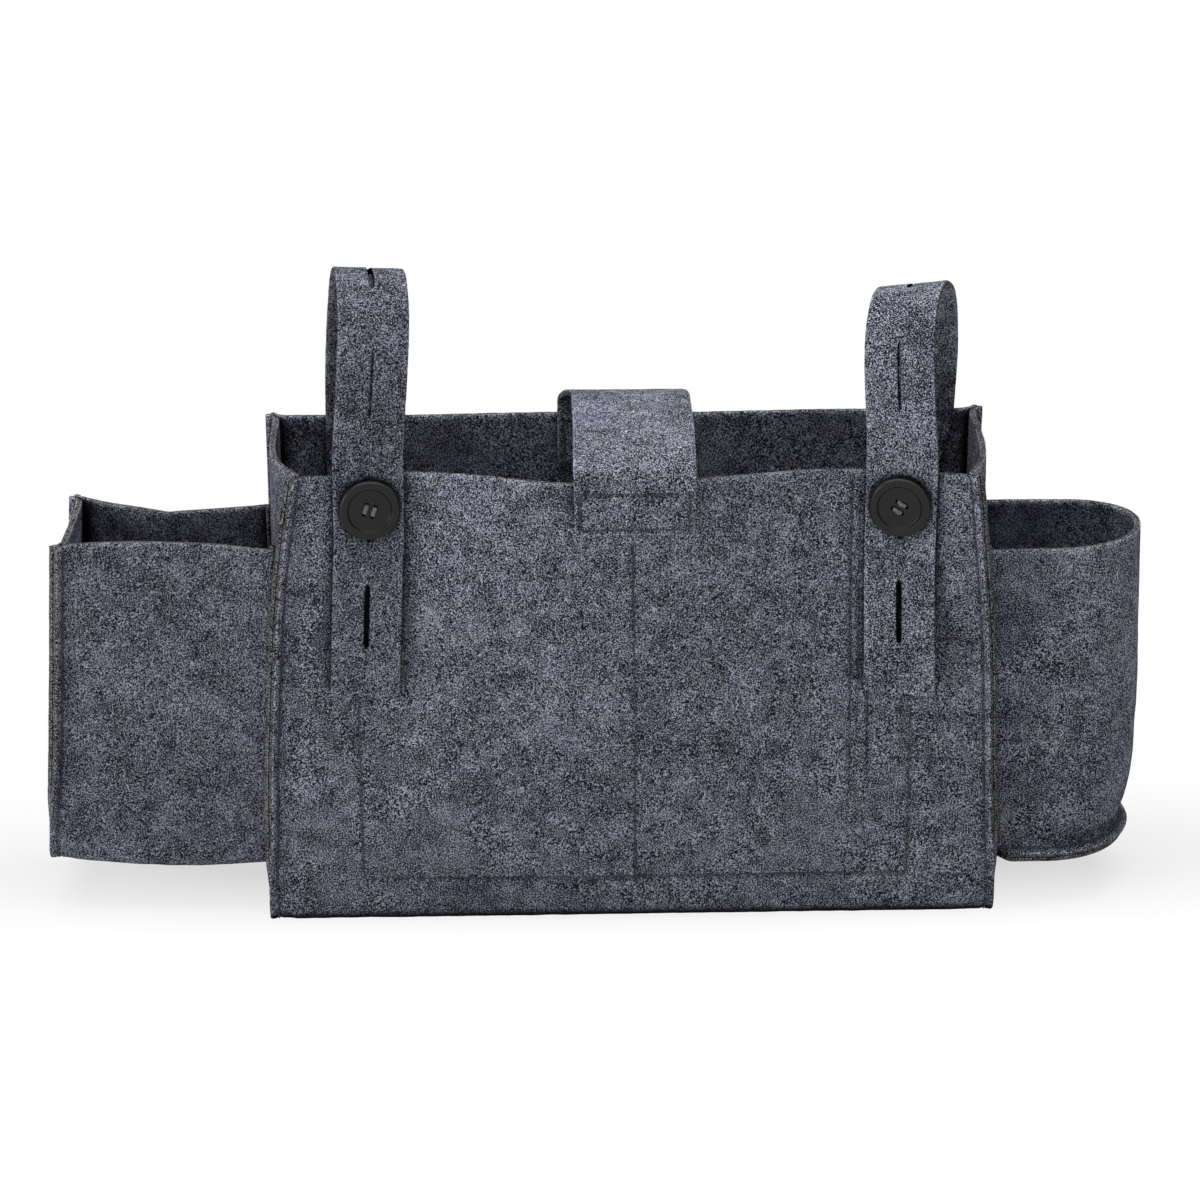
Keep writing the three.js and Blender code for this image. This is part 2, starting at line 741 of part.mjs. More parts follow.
addPart("right_pocket_base", baseSheet.thicken(felt), charcoalFelt);

// Its threads: down one hem, along the base's turned-up side and up the other hem, and round the
// standing seam.
const hemMiddle = pocketHem / 2;
const hemStops = (stop, order) =>
  order.map((row) => {
    const point = wallRows[row][wallStops.indexOf(stop)];
    return onFelt(pocketHemPoint(1, point, stop.out, hemMiddle), vector(1, 0, 0));
  });
const hemOrder = wallHeightShares.map((share, k) => k);
addPart(
  "right_pocket_front_stitching",
  threadAlong(hemStops(firstStop, hemOrder)),
  darkThread,
);
addPart("right_pocket_back_stitching", threadAlong(hemStops(lastStop, hemOrder)), darkThread);
addPart(
  "right_pocket_base_stitching",
  threadAlong(
    wallFoot.slice(1, -1).map((point, k) => {
      const { along, apart } = wallSeam(wallStops[k + 1]);
      return onFelt(shifted(point, along, stitchInset), apart);
    }),
  ),
  darkThread,
);

// The path of a strap's middle line in depth and height, from the end of its tail, up the front,
// over the arch and down inside the back. Arch places are shares of its half span and its rise.
const archShares = [
  [-1, 0], [-0.96, 0.34], [-0.86, 0.6], [-0.68, 0.86], [-0.36, 1], [0.28, 0.88], [0.7, 0.56],
  [0.93, 0.28], [0.99, 0],
];
const pathSteps = 240;
const splayRiseShare = 1 / 3;
const nearEdgeLift = 1 / 4;
const frontLayer = layerPitch * layerSlantShare;

function strapPath(strap) {
  const rimY = frontYAt(strap.buttonX, bodyHeight) - frontLayer;
  const tailY = frontYAt(strap.buttonX, strapTailEnd) - frontLayer;
  const arch = archShares.map(([span, rise]) =>
    vector(0, lerp(rimY, insideBackY, (span + 1) / 2), bodyHeight + strap.rise * rise),
  );
  const line = new THREE.CatmullRomCurve3([
    vector(0, tailY, strapTailEnd),
    vector(0, lerp(tailY, rimY, 1 / 2), (strapTailEnd + bodyHeight) / 2),
    ...arch,
    vector(0, insideBackY, strapRootEnd),
  ]);
  line.arcLengthDivisions = pathSteps;
  const length = line.getLength();
  let top = 0;
  for (let k = 0; k <= pathSteps; k += 1) {
    if (line.getPointAt(k / pathSteps).z > line.getPointAt(top).z) top = k / pathSteps;
  }
  return { line, length, top: top * length, rimY };
}

// Where a strap's sewn end lies at a height, and how its across way leans there.
const rootXAt = (strap, z) => strap.rootX + strap.rootLeanShare * (Math.min(z, bodyHeight) - bodyHeight);

// A place on a strap's middle surface, a distance from its tail's end and across from its middle.
// Below the rim it lies on the front, and its tail's outer edge stands off.
function strapPoint(strap, path, distance, across) {
  const place = path.line.getPointAt(clamp(distance / path.length));
  const inFront = distance < path.top;
  const rise = clamp((place.z - bodyHeight) / strap.rise);
  const climb = smooth(rise);
  const tail = clamp((buttonHeight - slitLength / 2 - place.z) / (buttonHeight - strapTailEnd));
  const frontLegX = lerp(lerp(strap.buttonX, strap.tailX, tail), strap.frontX, climb);
  const rearLegX = lerp(rootXAt(strap, place.z), strap.rearX, climb);
  const span = insideBackY - path.rimY;
  const depth = inFront && rise === 0 ? 0 : clamp((place.y - path.rimY) / span);
  const splay = Math.atan2(strap.rearX - strap.frontX, span) * smooth(rise / splayRiseShare);
  const acrossX = lerp(frontLegX, rearLegX, depth) + across * Math.cos(splay);
  const tilt = (strap.topTilt / strapWidth) * climb - strap.rootLeanShare * depth * (1 - climb);
  const free = vector(acrossX, place.y - across * Math.sin(splay), place.z + tilt * across);
  if (!inFront) return free;
  const lift = strap.tailLift * smooth(tail) * lerp(nearEdgeLift, 1, across / strapWidth + 1 / 2);
  const lying = frontYAt(acrossX, Math.min(place.z, bodyHeight)) - frontLayer - lift;
  const leaving = smooth((place.z - bodyHeight - felt) / strapWidth);
  return free.setY(lerp(lying, free.y, leaving));
}

const slitCentres = ({ upperSlitPitch }) => [
  firstSlit,
  firstSlit + slitPitch,
  firstSlit + slitPitch + upperSlitPitch,
  firstSlit + slitPitch + 2 * upperSlitPitch,
];
const inSlit = (strap, distance) =>
  slitCentres(strap).some((centre) => Math.abs(distance - centre) < slitLength / 2);

// One length of a strap, from one distance to another, with its slits left out.
function strapSheet(strap, path, from, to, step) {
  const ends = slitCentres(strap).flatMap((centre) => [centre - slitLength / 2, centre + slitLength / 2]);
  const stops = [from, ...ends.filter((end) => end > from && end < to), to];
  const distances = stops.flatMap((stop, k) => {
    if (k === 0) return [stop];
    const start = stops[k - 1];
    const pieces = Math.max(1, Math.round((stop - start) / step));
    return Array.from({ length: pieces }, (unused, n) => lerp(start, stop, (n + 1) / pieces));
  });
  const columns = [-strapWidth / 2, -slitHalf, slitHalf, strapWidth / 2];
  const rows = distances.map((distance) =>
    columns.map((across) => strapPoint(strap, path, distance, across)),
  );
  const isThere = (i, j) => j !== 1 || !inSlit(strap, (distances[i] + distances[i + 1]) / 2);
  return new Sheet().grid(rows, isThere).thicken(felt);
}

// A box of stitches that holds a strap's or the flap's root to the back, seen from inside. It leans
// as the root does.
function rootStitches(middleX, leanShare, width, bottom, top) {
  const halfX = width / 2 - stitchInset;
  const place = (across, z) => {
    const x = middleX + leanShare * (z - bodyHeight) + across;
    return onFelt(vector(x, insideBackY, z - leanShare * across), outFront);
  };
  const lowZ = bottom + stitchInset;
  const highZ = top - stitchInset;
  return threadAlong([
    place(-halfX + felt, highZ),
    place(halfX, highZ),
    place(halfX, lowZ),
    place(-halfX, lowZ),
    place(-halfX, highZ - felt),
  ]);
}

const strapJoin = firstSlit + slitPitch + slitLength / 2 + 2 * felt;
const tailStep = 32;
const archStep = 8;

for (const strap of straps) {
  const path = strapPath(strap);
  const { side } = strap;
  const split = (at) => [at - hingeGap / 2, at + hingeGap / 2];
  const [tailTop, loopStart] = split(strapJoin);
  const [loopEnd, rootStart] = split(path.top);
  addPart(`${side}_strap_tail`, strapSheet(strap, path, 0, tailTop, tailStep), charcoalFelt);
  addPart(`${side}_strap_loop`, strapSheet(strap, path, loopStart, loopEnd, archStep), charcoalFelt);
  addPart(`${side}_strap_root`, strapSheet(strap, path, rootStart, path.length, archStep), charcoalFelt);
  addPart(
    `${side}_strap_stitching`,
    rootStitches(strap.rootX, strap.rootLeanShare, strapWidth, strapRootEnd, bodyHeight),
    darkThread,
  );
}

// Closed solids joined or cut.
function solidFrom(geometry) {
  const flat = geometry.index ? geometry.toNonIndexed() : geometry;
  const sheet = new Sheet();
  const places = flat.getAttribute("position");
  for (let k = 0; k < places.count; k += 3) {
    sheet.face(...[0, 1, 2].map((step) => vector().fromBufferAttribute(places, k + step)));
  }
  return new wasm.Manifold(
    new wasm.Mesh({
      numProp: 3,
      vertProperties: new Float32Array(sheet.points.flatMap((p) => p.toArray())),
      triVerts: new Uint32Array(sheet.faces.flat()),
    }),
  );
}

function geometryFrom(solid) {
  const mesh = solid.getMesh();
  const geometry = new THREE.BufferGeometry();
  geometry.setAttribute("position", new THREE.BufferAttribute(mesh.vertProperties, 3));
  geometry.setIndex(new THREE.BufferAttribute(mesh.triVerts, 1));
  return geometry;
}

// Buttons are built lying on the plane z = 0 with their face up.
const buttonSides = 28;
const holeSides = 10;
const buttonRadius = buttonDiameter / 2;
const recessRadius = buttonRadius - buttonRimWidth;
const buttonFloor = buttonThickness - buttonRecess;
const holePlaces = [-1, 1].flatMap((a) => [-1, 1].map((b) => [a, b].map((n) => (n * buttonHolePitch) / 2)));

function standingRod(diameter, from, to, x, y, sides = holeSides) {
  const rod = new THREE.CylinderGeometry(diameter / 2, diameter / 2, to - from, sides);
  return solidFrom(rod.rotateX(quarterTurn).translate(x, y, (from + to) / 2));
}

const backRadiusShare = 0.72;
const waistShare = 0.5;
const rimRoundShare = 0.9;
const recessLipShare = 0.3;
function buttonSolid() {
  const lip = recessRadius + buttonRecess * recessLipShare;
  const profile = [
    [0, 0],
    [buttonRadius * backRadiusShare, 0],
    [buttonRadius * rimRoundShare, buttonThickness * (1 - rimRoundShare)],
    [buttonRadius, buttonThickness * waistShare],
    [buttonRadius * (1 + rimRoundShare) / 2, buttonThickness * rimRoundShare],
    [buttonRadius * rimRoundShare, buttonThickness],
    [lip + buttonRecess, buttonThickness],
    [lip, buttonThickness - buttonRecess * recessLipShare],
    [recessRadius, buttonFloor],
    [0, buttonFloor],
  ].map(([r, z]) => new THREE.Vector2(r, z));
  const disc = solidFrom(new THREE.LatheGeometry(profile, buttonSides).rotateX(quarterTurn));
  const overrun = layerGap;
  const bores = holePlaces.map(([x, y]) =>
    standingRod(buttonHoleDiameter, -overrun, buttonThickness + overrun, x, y),
  );
  return bores.reduce((solid, bore) => solid.subtract(bore), disc);
}

// The thread of a button: a bar across each pair of holes, a leg down each hole, the bundle that
// goes through strap and front, and the knot inside.
const legDiameter = buttonHoleDiameter - 2 * layerGap;
const knotDiameter = 4 * threadDiameter;
const shankHead = buttonHolePitch * Math.SQRT2 + threadDiameter;
const shankSides = 12;
const headDepth = felt / 4;
const buttonStandoff = felt / 2 + headDepth + 2 * layerGap;
const shankReach = buttonStandoff + layerPitch * layerSlantShare + felt / 2 + layerGap;

function threadSolid() {
  const barFrom = buttonFloor + layerGap;
  const pieces = holePlaces.map(([x, y]) =>
    standingRod(legDiameter, -layerGap - headDepth / 2, barFrom + legDiameter / 4, x, y),
  );
  for (const [x] of [holePlaces[0], holePlaces[2]]) {
    const bar = new THREE.BoxGeometry(legDiameter, buttonHolePitch, legDiameter / 2);
    pieces.push(solidFrom(bar.translate(x, 0, barFrom + legDiameter / 4)));
  }
  pieces.push(
    standingRod(shankHead, -layerGap - headDepth, -layerGap, 0, 0, shankSides),
    standingRod(threadDiameter, -shankReach - felt / 4, -layerGap - headDepth / 2, 0, 0),
    standingRod(knotDiameter, -shankReach - felt / 2, -shankReach, 0, 0, shankSides),
  );
  return pieces.reduce((solid, piece) => solid.add(piece));
}

const buttonGeometry = geometryFrom(buttonSolid());
const threadGeometry = geometryFrom(threadSolid());
const leftBarTurn = THREE.MathUtils.degToRad(-20);
const rightBarTurn = THREE.MathUtils.degToRad(60);

for (const strap of straps) {
  const at = (stepX, stepZ) => {
    const [x, z] = [strap.buttonX + stepX, buttonHeight + stepZ];
    return vector(x, frontYAt(x, z) - frontLayer, z);
  };
  const acrossWay = at(felt, 0).sub(at(-felt, 0)).normalize();
  const upWay = at(0, felt).sub(at(0, -felt)).normalize();
  const faceWay = acrossWay.clone().cross(upWay).normalize();
  const level = faceWay.clone().cross(acrossWay).normalize();
  const frame = new THREE.Matrix4().makeBasis(acrossWay, level, faceWay);
  const seat = new THREE.Group();
  seat.setRotationFromMatrix(frame);
  seat.position.copy(shifted(at(0, 0), faceWay, buttonStandoff));
  const turned = new THREE.Group();
  turned.rotation.z = strap === leftStrap ? leftBarTurn : rightBarTurn;
  seat.add(turned);
  const button = new THREE.Mesh(buttonGeometry, blackPlastic);
  button.name = `${strap.side}_button`;
  const thread = new THREE.Mesh(threadGeometry, greyThread);
  thread.name = `${strap.side}_button_thread`;
  turned.add(button, thread);
  caddy.add(seat);
}

// Loop tape on the front, hook tape inside the flap's end, and the flap, layer upon layer. The loop
// tape follows the rim's wave. The flap is flat across, so it touches only where the front bulges.
const flapTouchX = flapX - flapWidth / 3;
const flapSkewShare = 0.35;
const flapTaperShare = 0.6;
const tapeBottom = flapEnd + tapeMargin;
const tapeTop = tapeBottom + tapeHeight;
const tapeRows = [tapeBottom, tapeTop];
const tapeColumns = [
  flapX - tapeWidth / 2,
  ...rimWaveShares
    .map(([share]) => frontX(share, buttonHeight))
    .filter((x) => Math.abs(x - flapX) < tapeWidth / 2),
  flapX + tapeWidth / 2,
];
const tapeEnds = [tapeColumns[0], tapeColumns[tapeColumns.length - 1]];
const inFrontOf = (x, z, distance) =>
  vector(x, frontYAt(x, z) - distance * layerSlantShare, z);
const onFlap = (x, z, distance) => inFrontOf(flapTouchX, Math.min(z, bodyHeight), distance).setX(x).setZ(z);
const loopLayer = felt / 2 + layerGap + tapeThickness / 2;
const hookLayer = loopLayer + tapeThickness + layerGap;
const flapLayer = hookLayer + tapeThickness / 2 + layerGap + felt / 2;
const tapeSheet = (columns, place, distance) =>
  new Sheet()
    .grid(tapeRows.map((z) => columns.map((x) => place(x, z, distance))))
    .thicken(tapeThickness);
addPart("loop_tape", tapeSheet(tapeColumns, inFrontOf, loopLayer), tapeLook);
addPart("hook_tape", tapeSheet(tapeEnds, onFlap, hookLayer), tapeLook);

// The flap's middle surface: up inside the back to its hinge line, over an arch, and down over the
// tapes. It crosses from its root's place to its end's place on the way over, and narrows towards
// its end.
const hingeZ = bodyHeight + hingeRise;
const flapFrontY = onFlap(flapX, bodyHeight, flapLayer).y;
const flapEdges = (middleX, taper) =>
  [-1 / 2, 1 / 2].map((step) => middleX + step * lerp(flapRootWidth, flapWidth, taper));
function flapRow(turn) {
  const share = turn / Math.PI;
  const middleX = lerp(flapRootX, flapX, smooth(share / flapSkewShare));
  const y = lerp(insideBackY, flapFrontY, (1 - Math.cos(turn)) / 2);
  const z = hingeZ + flapRise * Math.sin(turn);
  return flapEdges(middleX, flapTaperShare * share).map((x) => vector(x, y, z));
}

const archTurns = 14;
const flapFrontShares = [0.35, 0.7, 1];
const flapArch = Array.from({ length: archTurns + 1 }, (unused, k) =>
  flapRow(Math.max((Math.PI * k) / archTurns, layerGap / flapRise)),
);
const flapFront = flapFrontShares.map((share) =>
  flapEdges(flapX, lerp(flapTaperShare, 1, share)).map((x) =>
    onFlap(x, lerp(hingeZ, flapEnd, share), flapLayer),
  ),
);
addPart("closure_flap", new Sheet().grid([...flapArch, ...flapFront]).thicken(felt), palerFelt);
const flapRootRows = [flapRootEnd, hingeZ - hingeGap].map((z) =>
  flapEdges(flapRootX, 0).map((x) => vector(x, insideBackY, z)),
);
addPart("closure_flap_root", new Sheet().grid(flapRootRows).thicken(felt), palerFelt);
addPart(
  "closure_flap_stitching",
  rootStitches(flapRootX, 0, flapRootWidth, flapRootEnd, bodyHeight),
  darkThread,
);

// The stitched box that shows on the flap's end and holds the hook tape.
const boxInset = felt / 4;
const boxStop = (x, z) => onFelt(onFlap(x, z, flapLayer), outFront);
const boxHalf = tapeWidth / 2 - boxInset;
const [boxLow, boxHigh] = [tapeBottom + boxInset, tapeTop - boxInset];
addPart(
  "hook_tape_stitching",
  threadAlong([
    boxStop(flapX - boxHalf, boxLow + felt),
    boxStop(flapX - boxHalf, boxHigh),
    boxStop(flapX + boxHalf, boxHigh),
    boxStop(flapX + boxHalf, boxLow),
    boxStop(flapX - boxHalf, boxLow),
  ]),
  darkThread,
);

export default caddy;
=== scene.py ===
import math

import bmesh
import bpy
import numpy as np
from mathutils import Matrix, Vector, noise
from mathutils.kdtree import KDTree


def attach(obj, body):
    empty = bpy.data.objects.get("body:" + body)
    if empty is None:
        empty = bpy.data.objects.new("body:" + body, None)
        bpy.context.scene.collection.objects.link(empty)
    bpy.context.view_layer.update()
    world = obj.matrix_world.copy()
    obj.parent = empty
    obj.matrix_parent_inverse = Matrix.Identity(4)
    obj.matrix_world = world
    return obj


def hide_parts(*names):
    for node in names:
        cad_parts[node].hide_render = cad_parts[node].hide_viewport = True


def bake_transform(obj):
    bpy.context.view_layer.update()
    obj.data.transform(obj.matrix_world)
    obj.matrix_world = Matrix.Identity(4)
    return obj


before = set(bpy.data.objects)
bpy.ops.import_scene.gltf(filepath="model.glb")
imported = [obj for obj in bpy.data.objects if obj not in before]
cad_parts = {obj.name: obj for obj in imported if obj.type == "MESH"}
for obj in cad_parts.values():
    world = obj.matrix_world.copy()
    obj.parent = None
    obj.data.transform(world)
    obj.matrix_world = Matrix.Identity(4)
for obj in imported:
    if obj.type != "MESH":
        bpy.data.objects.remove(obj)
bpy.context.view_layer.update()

MM = 0.001
QUARTER = math.pi / 2

# The draw of small unevenness. Unseeded, it follows the clock.
NOISE_SEED = 1795885472
noise.seed_set(NOISE_SEED)

# Felt and its seams
FELT = 3.0
LAYER_GAP = 0.3
LAYER_PITCH = FELT + LAYER_GAP
SEAM_PITCH = LAYER_PITCH + LAYER_GAP / 2
SEAM_ALLOWANCE = 8.0
SEAM_FLARE = math.radians(45)
WALL_FLARE = math.radians(62)
FLARE_HEIGHT = 45.0
FOLD_RADIUS = 7.0
SLANT = 1.06

# Main bag
BODY_WIDTH = 350.0
BODY_DEPTH = 110.0
BODY_HEIGHT = 237.0
BACK_DROP = 2.0
LEFT_TUCK = 18.0
RIGHT_TUCK = 13.0
RIM_BULGE = 17.0
TUCK_POWER = 2.4
WAVE_POWER = 1.6
GUSSET_CURL = 4
RIM_WAVE = [
    (-1, 0), (-0.92, -0.06), (-0.67, -0.35), (-0.53, -0.12), (-0.39, 0.35), (-0.25, 0.82),
    (-0.11, 1), (0.08, 0.88), (0.2, 0.6), (0.39, 0.15), (0.55, -0.13), (0.7, -0.12),
    (0.95, 0.47), (1, 0.6),
]
FRONT_Y = -(BODY_DEPTH - FELT) / 2
BACK_Y = (BODY_DEPTH - FELT) / 2
INSIDE_BACK_Y = BACK_Y - LAYER_PITCH

# Organizer panel
ORGANIZER_WIDTH = 273.0
ORGANIZER_MIDDLE = 2.0
ORGANIZER_BOTTOM = 24.0
ORGANIZER_TOP = 208.0
ORGANIZER_HEM = 4.0
ORGANIZER_BOW = 15.0
ORGANIZER_LINES = [ORGANIZER_MIDDLE + step * ORGANIZER_WIDTH / 2 for step in (-1, 0, 1)]

# Side pockets
POCKET_INSET = LAYER_PITCH * SLANT
POCKET_HEM = SEAM_ALLOWANCE
LEFT_REACH = 112.0
LEFT_TAPER = 10.0
LEFT_SAG = 3.0
LEFT_FRONT = 45.0
LEFT_DEPTH = 76.0
LEFT_BOTTOM = 27.0
LEFT_TOP = 196.0
LEFT_SKEW = 9.0
LEFT_RIM_SKEW = 5.0
LEFT_FRONT_DENT = 8.0
LEFT_BACK_DENT = 20.0
CREASE_SHARE = 0.53
CREASE_POWER = 0.85
RIGHT_REACH = 81.0
RIGHT_FRONT = 46.0
RIGHT_DEPTH = 78.0
RIGHT_BOTTOM = 34.0
RIGHT_TOP = 192.0
RIGHT_FRONT_RADIUS = 0.6 * (RIGHT_DEPTH - FELT)
RIGHT_BACK_RADIUS = 0.385 * (RIGHT_DEPTH - FELT)
RIGHT_TAPER = 6.0
WALL_TAPER = [(0, 1), (0.1, 0.15), (0.36, -0.3), (0.72, -0.2), (1, 0)]

# Straps, buttons and flap
STRAP_WIDTH = 34.0
STRAP_TAIL_END = 125.0
STRAP_ROOT_END = 202.0
SLIT_LENGTH = 32.0
SLIT_WIDTH = 2.4
FIRST_SLIT = 41.0
SLIT_PITCH = 53.5
BUTTON_HEIGHT = 221.0
BUTTON_DIAMETER = 30.0
BUTTON_THICKNESS = 4.0
BUTTON_RECESS = 1.5
BUTTON_RIM = 5.4
HOLE_DIAMETER = 2.3
HOLE_PITCH = 4.2
THREAD_DIAMETER = 1.7
FLAP_WIDTH = 57.0
FLAP_ROOT_WIDTH = 60.0
FLAP_RISE = 15.0
FLAP_END = 213.0
FLAP_ROOT_END = 209.0
FLAP_X = 2.4
FLAP_ROOT_X = -4.5
FLAP_TOUCH_X = FLAP_X - FLAP_WIDTH / 3
FLAP_SKEW_SHARE = 0.35
FLAP_TAPER_SHARE = 0.6
HINGE_Z = BODY_HEIGHT + 4.5
TAPE = 1.8
TAPE_WIDTH = 55.0
TAPE_HEIGHT = 21.5
TAPE_MARGIN = 1.2

# Stitches
STITCH_PITCH = 2.6
STITCH_LENGTH = 2.0
STITCH_RADIUS = 0.33
STITCH_INSET = 3.6
PINCH_DEPTH = 0.6
PINCH_REACH = 1.3

# Painted shade and highlight on felt: how much darker its colour is painted along a seam and beside a slit,
# and how much paler at its rim
SEAM_SHADE = 0.75
SEAM_REACH = 0.7
SLIT_SHADE = 0.4
RIM_GLEAM = 0.5

# How a felt sheet bends, settles, swells and ends
NEAR = 5.0
BEND_REACH = 4.2
BEND_ROUNDS = 14
SETTLE_SIZE = 70.0
SETTLE_HEIGHT = 0.7
SETTLE_GROUND = 12.0
LUMP_SIZE = 9.0
LUMP_HEIGHT = 0.22
SWELL_SIZE = 3.1
SWELL_SHARE = 0.05
RIM_ROUND = 0.55
RIM_UNEVEN = 0.16
RIM_SIZE = 1.7
SLIT_REACH = 0.1
SLIT_ROUND = 0.12
SLIT_UNEVEN = 0.04

# How far apart a mesh's rows lie: in a panel, and in a narrow strip
PANEL_STEP = 3.0
STRIP_STEP = 2.5

UP = np.array([0.0, 0.0, 1.0])
FORWARD = np.array([0.0, -1.0, 0.0])
ACROSS = np.array([1.0, 0.0, 0.0])


def lerp(a, b, share):
    return a + (b - a) * share


def clamp(value):
    return np.clip(value, 0.0, 1.0)


def smooth(value):
    value = clamp(value)
    return value * value * (3 - 2 * value)


def hump(share):
    return 4 * share * (1 - share)


def unit(vectors):
    return vectors / np.linalg.norm(vectors, axis=-1, keepdims=True)


def turned(a, b, angle):
    """Two ways at right angles, turned in their plane."""
    return a * np.cos(angle) + b * np.sin(angle), b * np.cos(angle) - a * np.sin(angle)


def round_angles(sides):
    return np.arange(sides) * 2 * math.pi / sides


def place(x, y, z):
    """Points from coordinates of any shapes that fit together."""
    return np.stack(np.broadcast_arrays(x, y, z), axis=-1).astype(float)


def tabled(table, where):
    """The value at a place in a table of (place, value) pairs, on a smooth curve through them."""
    xs, ys = np.array(table, float).T
    slopes = np.gradient(ys, xs)
    k = np.clip(np.searchsorted(xs, where) - 1, 0, len(xs) - 2)
    span = xs[k + 1] - xs[k]
    t = clamp((where - xs[k]) / span)
    curve = (2 * t**3 - 3 * t**2 + 1) * ys[k] + (3 * t**2 - 2 * t**3) * ys[k + 1]
    lean = (t**3 - 2 * t**2 + t) * slopes[k] + (t**3 - t**2) * slopes[k + 1]
    return curve + span * lean


def places(start, end, step, lines=(), reach=NEAR, fine=1.0):
    """Places from start to end, a step apart, and closer together near the given lines."""
    found = [start]
    while found[-1] < end:
        near = min((abs(found[-1] - line) for line in lines), default=math.inf)
        found.append(found[-1] + (fine if near < reach else step))
    if end - found[-2] < fine / 2 and len(found) > 2:
        found.pop()
    found[-1] = end
    return np.array(found)


# Rows of a panel that runs down a front, under a base and up a back: the middle of the felt, its
# angle (0 at the front, a quarter turn at the base) and how far it has climbed above the fold.
class Wrap:
    FOLD_STEPS = 10

    def __init__(self, front, back, base, heights, floor_steps, back_share=1.0):
        turn = np.linspace(0, QUARTER, self.FOLD_STEPS + 1)
        inset = FOLD_RADIUS * (1 - np.cos(turn))
        dip = base + FOLD_RADIUS * (1 - np.sin(turn))
        upright = np.zeros(len(heights))
        half_z = np.concatenate([heights, dip])
        back_z = np.concatenate([heights * back_share, dip])
        half_angle = np.concatenate([upright, turn])
        floor = np.linspace(front + FOLD_RADIUS, back - FOLD_RADIUS, floor_steps + 2)[1:-1]
        self.y = np.concatenate([upright + front, front + inset, floor, (back - inset)[::-1], upright + back])
        self.z = np.concatenate([half_z, np.full(len(floor), base), back_z[::-1]])
        self.angle = np.concatenate([half_angle, np.full(len(floor), QUARTER), math.pi - half_angle[::-1]])
        self.out = place(0, -np.cos(self.angle), -np.sin(self.angle))
        self.climb = self.z - base - FOLD_RADIUS
        in_fold = np.concatenate([upright, turn + 1, floor * 0, turn + 1, upright]) > 0
        self.hem_reach = np.where(in_fold, min(POCKET_HEM, FOLD_RADIUS), POCKET_HEM)
        self.in_front = self.angle < QUARTER - 1e-6
        self.wall_start = len(heights)
        self.corner = len(heights) + self.FOLD_STEPS // 2

    def seam_ways(self, side):
        """Along the standing layers of a seam, and from the inner layer to the outer one."""
        flare = (SEAM_FLARE * smooth(self.climb / FLARE_HEIGHT))[:, None]
        return turned(side * ACROSS, self.out, flare)


# Main bag
def front_edge_x(side, z):
    tuck = LEFT_TUCK if side < 0 else RIGHT_TUCK
    return side * (BODY_WIDTH / 2 - tuck * (z / BODY_HEIGHT) ** TUCK_POWER)


def front_share(x, z):
    left, right = front_edge_x(-1, z), front_edge_x(1, z)
    return 2 * (x - left) / (right - left) - 1


def wave(share, z):
    return RIM_BULGE * tabled(RIM_WAVE, share) * (np.maximum(z, 0) / BODY_HEIGHT) ** WAVE_POWER


def front_y(x, z):
    return FRONT_Y - wave(front_share(x, z), z)


def outside_y(x, z):
    """The middle of a layer of felt that lies on the front."""
    return front_y(x, z) - POCKET_INSET


body_heights = places(
    0, BODY_HEIGHT - FOLD_RADIUS - FELT / 2, PANEL_STEP, lines=[BODY_HEIGHT - ORGANIZER_BOTTOM - NEAR]
)
body_wrap = Wrap(
    FRONT_Y, BACK_Y, FELT / 2, BODY_HEIGHT - body_heights[:-1], 30, back_share=1 - BACK_DROP / BODY_HEIGHT
)


def body_edge(side):
    """The line where the body panel turns into a seam edge."""
    wrap = body_wrap
    front = place(front_edge_x(side, wrap.z), wrap.y - wave(side, wrap.z), wrap.z)
    rest = place(side * BODY_WIDTH / 2, wrap.y, wrap.z)
    return np.where(wrap.in_front[:, None], front, rest)


def gusset_x(side, y, z):
    """The middle of a main gusset's felt at a place along the bag's depth and height."""
    flare = SEAM_FLARE
    shift_x = side * SEAM_PITCH * math.sin(flare)
    shift_y = SEAM_PITCH * math.cos(flare)
    front_x = front_edge_x(side, z) + shift_x
    front = FRONT_Y - wave(side, z) + shift_y
    back_x = side * BODY_WIDTH / 2 + shift_x
    share = clamp((y - front) / (BACK_Y - shift_y - front))
    return lerp(back_x, front_x, (1 - share) ** GUSSET_CURL)


def on_gusset(side, y, z):
    """A place on a layer that lies outside a main gusset."""
    return place(gusset_x(side, y, z) + side * POCKET_INSET, y, z)


# Meshes
def weld(grids):
    """Points and faces of grids of points, joined where they meet."""
    points, faces, start = [], [], 0
    for grid in grids:
        rows, columns = grid.shape[:2]
        index = start + np.arange(rows * columns).reshape(rows, columns)
        quads = np.stack([index[:-1, :-1], index[:-1, 1:], index[1:, 1:], index[1:, :-1]], axis=-1)
        points.append(grid.reshape(-1, 3))
        faces.append(quads.reshape(-1, 4))
        start += rows * columns
    points, faces = np.concatenate(points), np.concatenate(faces)
    tolerance = 0.02
    _, first, back = np.unique(
        np.round(points / tolerance).astype(np.int64), axis=0, return_index=True, return_inverse=True
    )
    faces = back.reshape(-1)[faces]
    tidy = []
    for face in faces.tolist():
        corners = [c for k, c in enumerate(face) if c != face[k - 1]]
        if len(set(corners)) == len(corners) >= 3:
            tidy.append(corners)
    return points[first], tidy


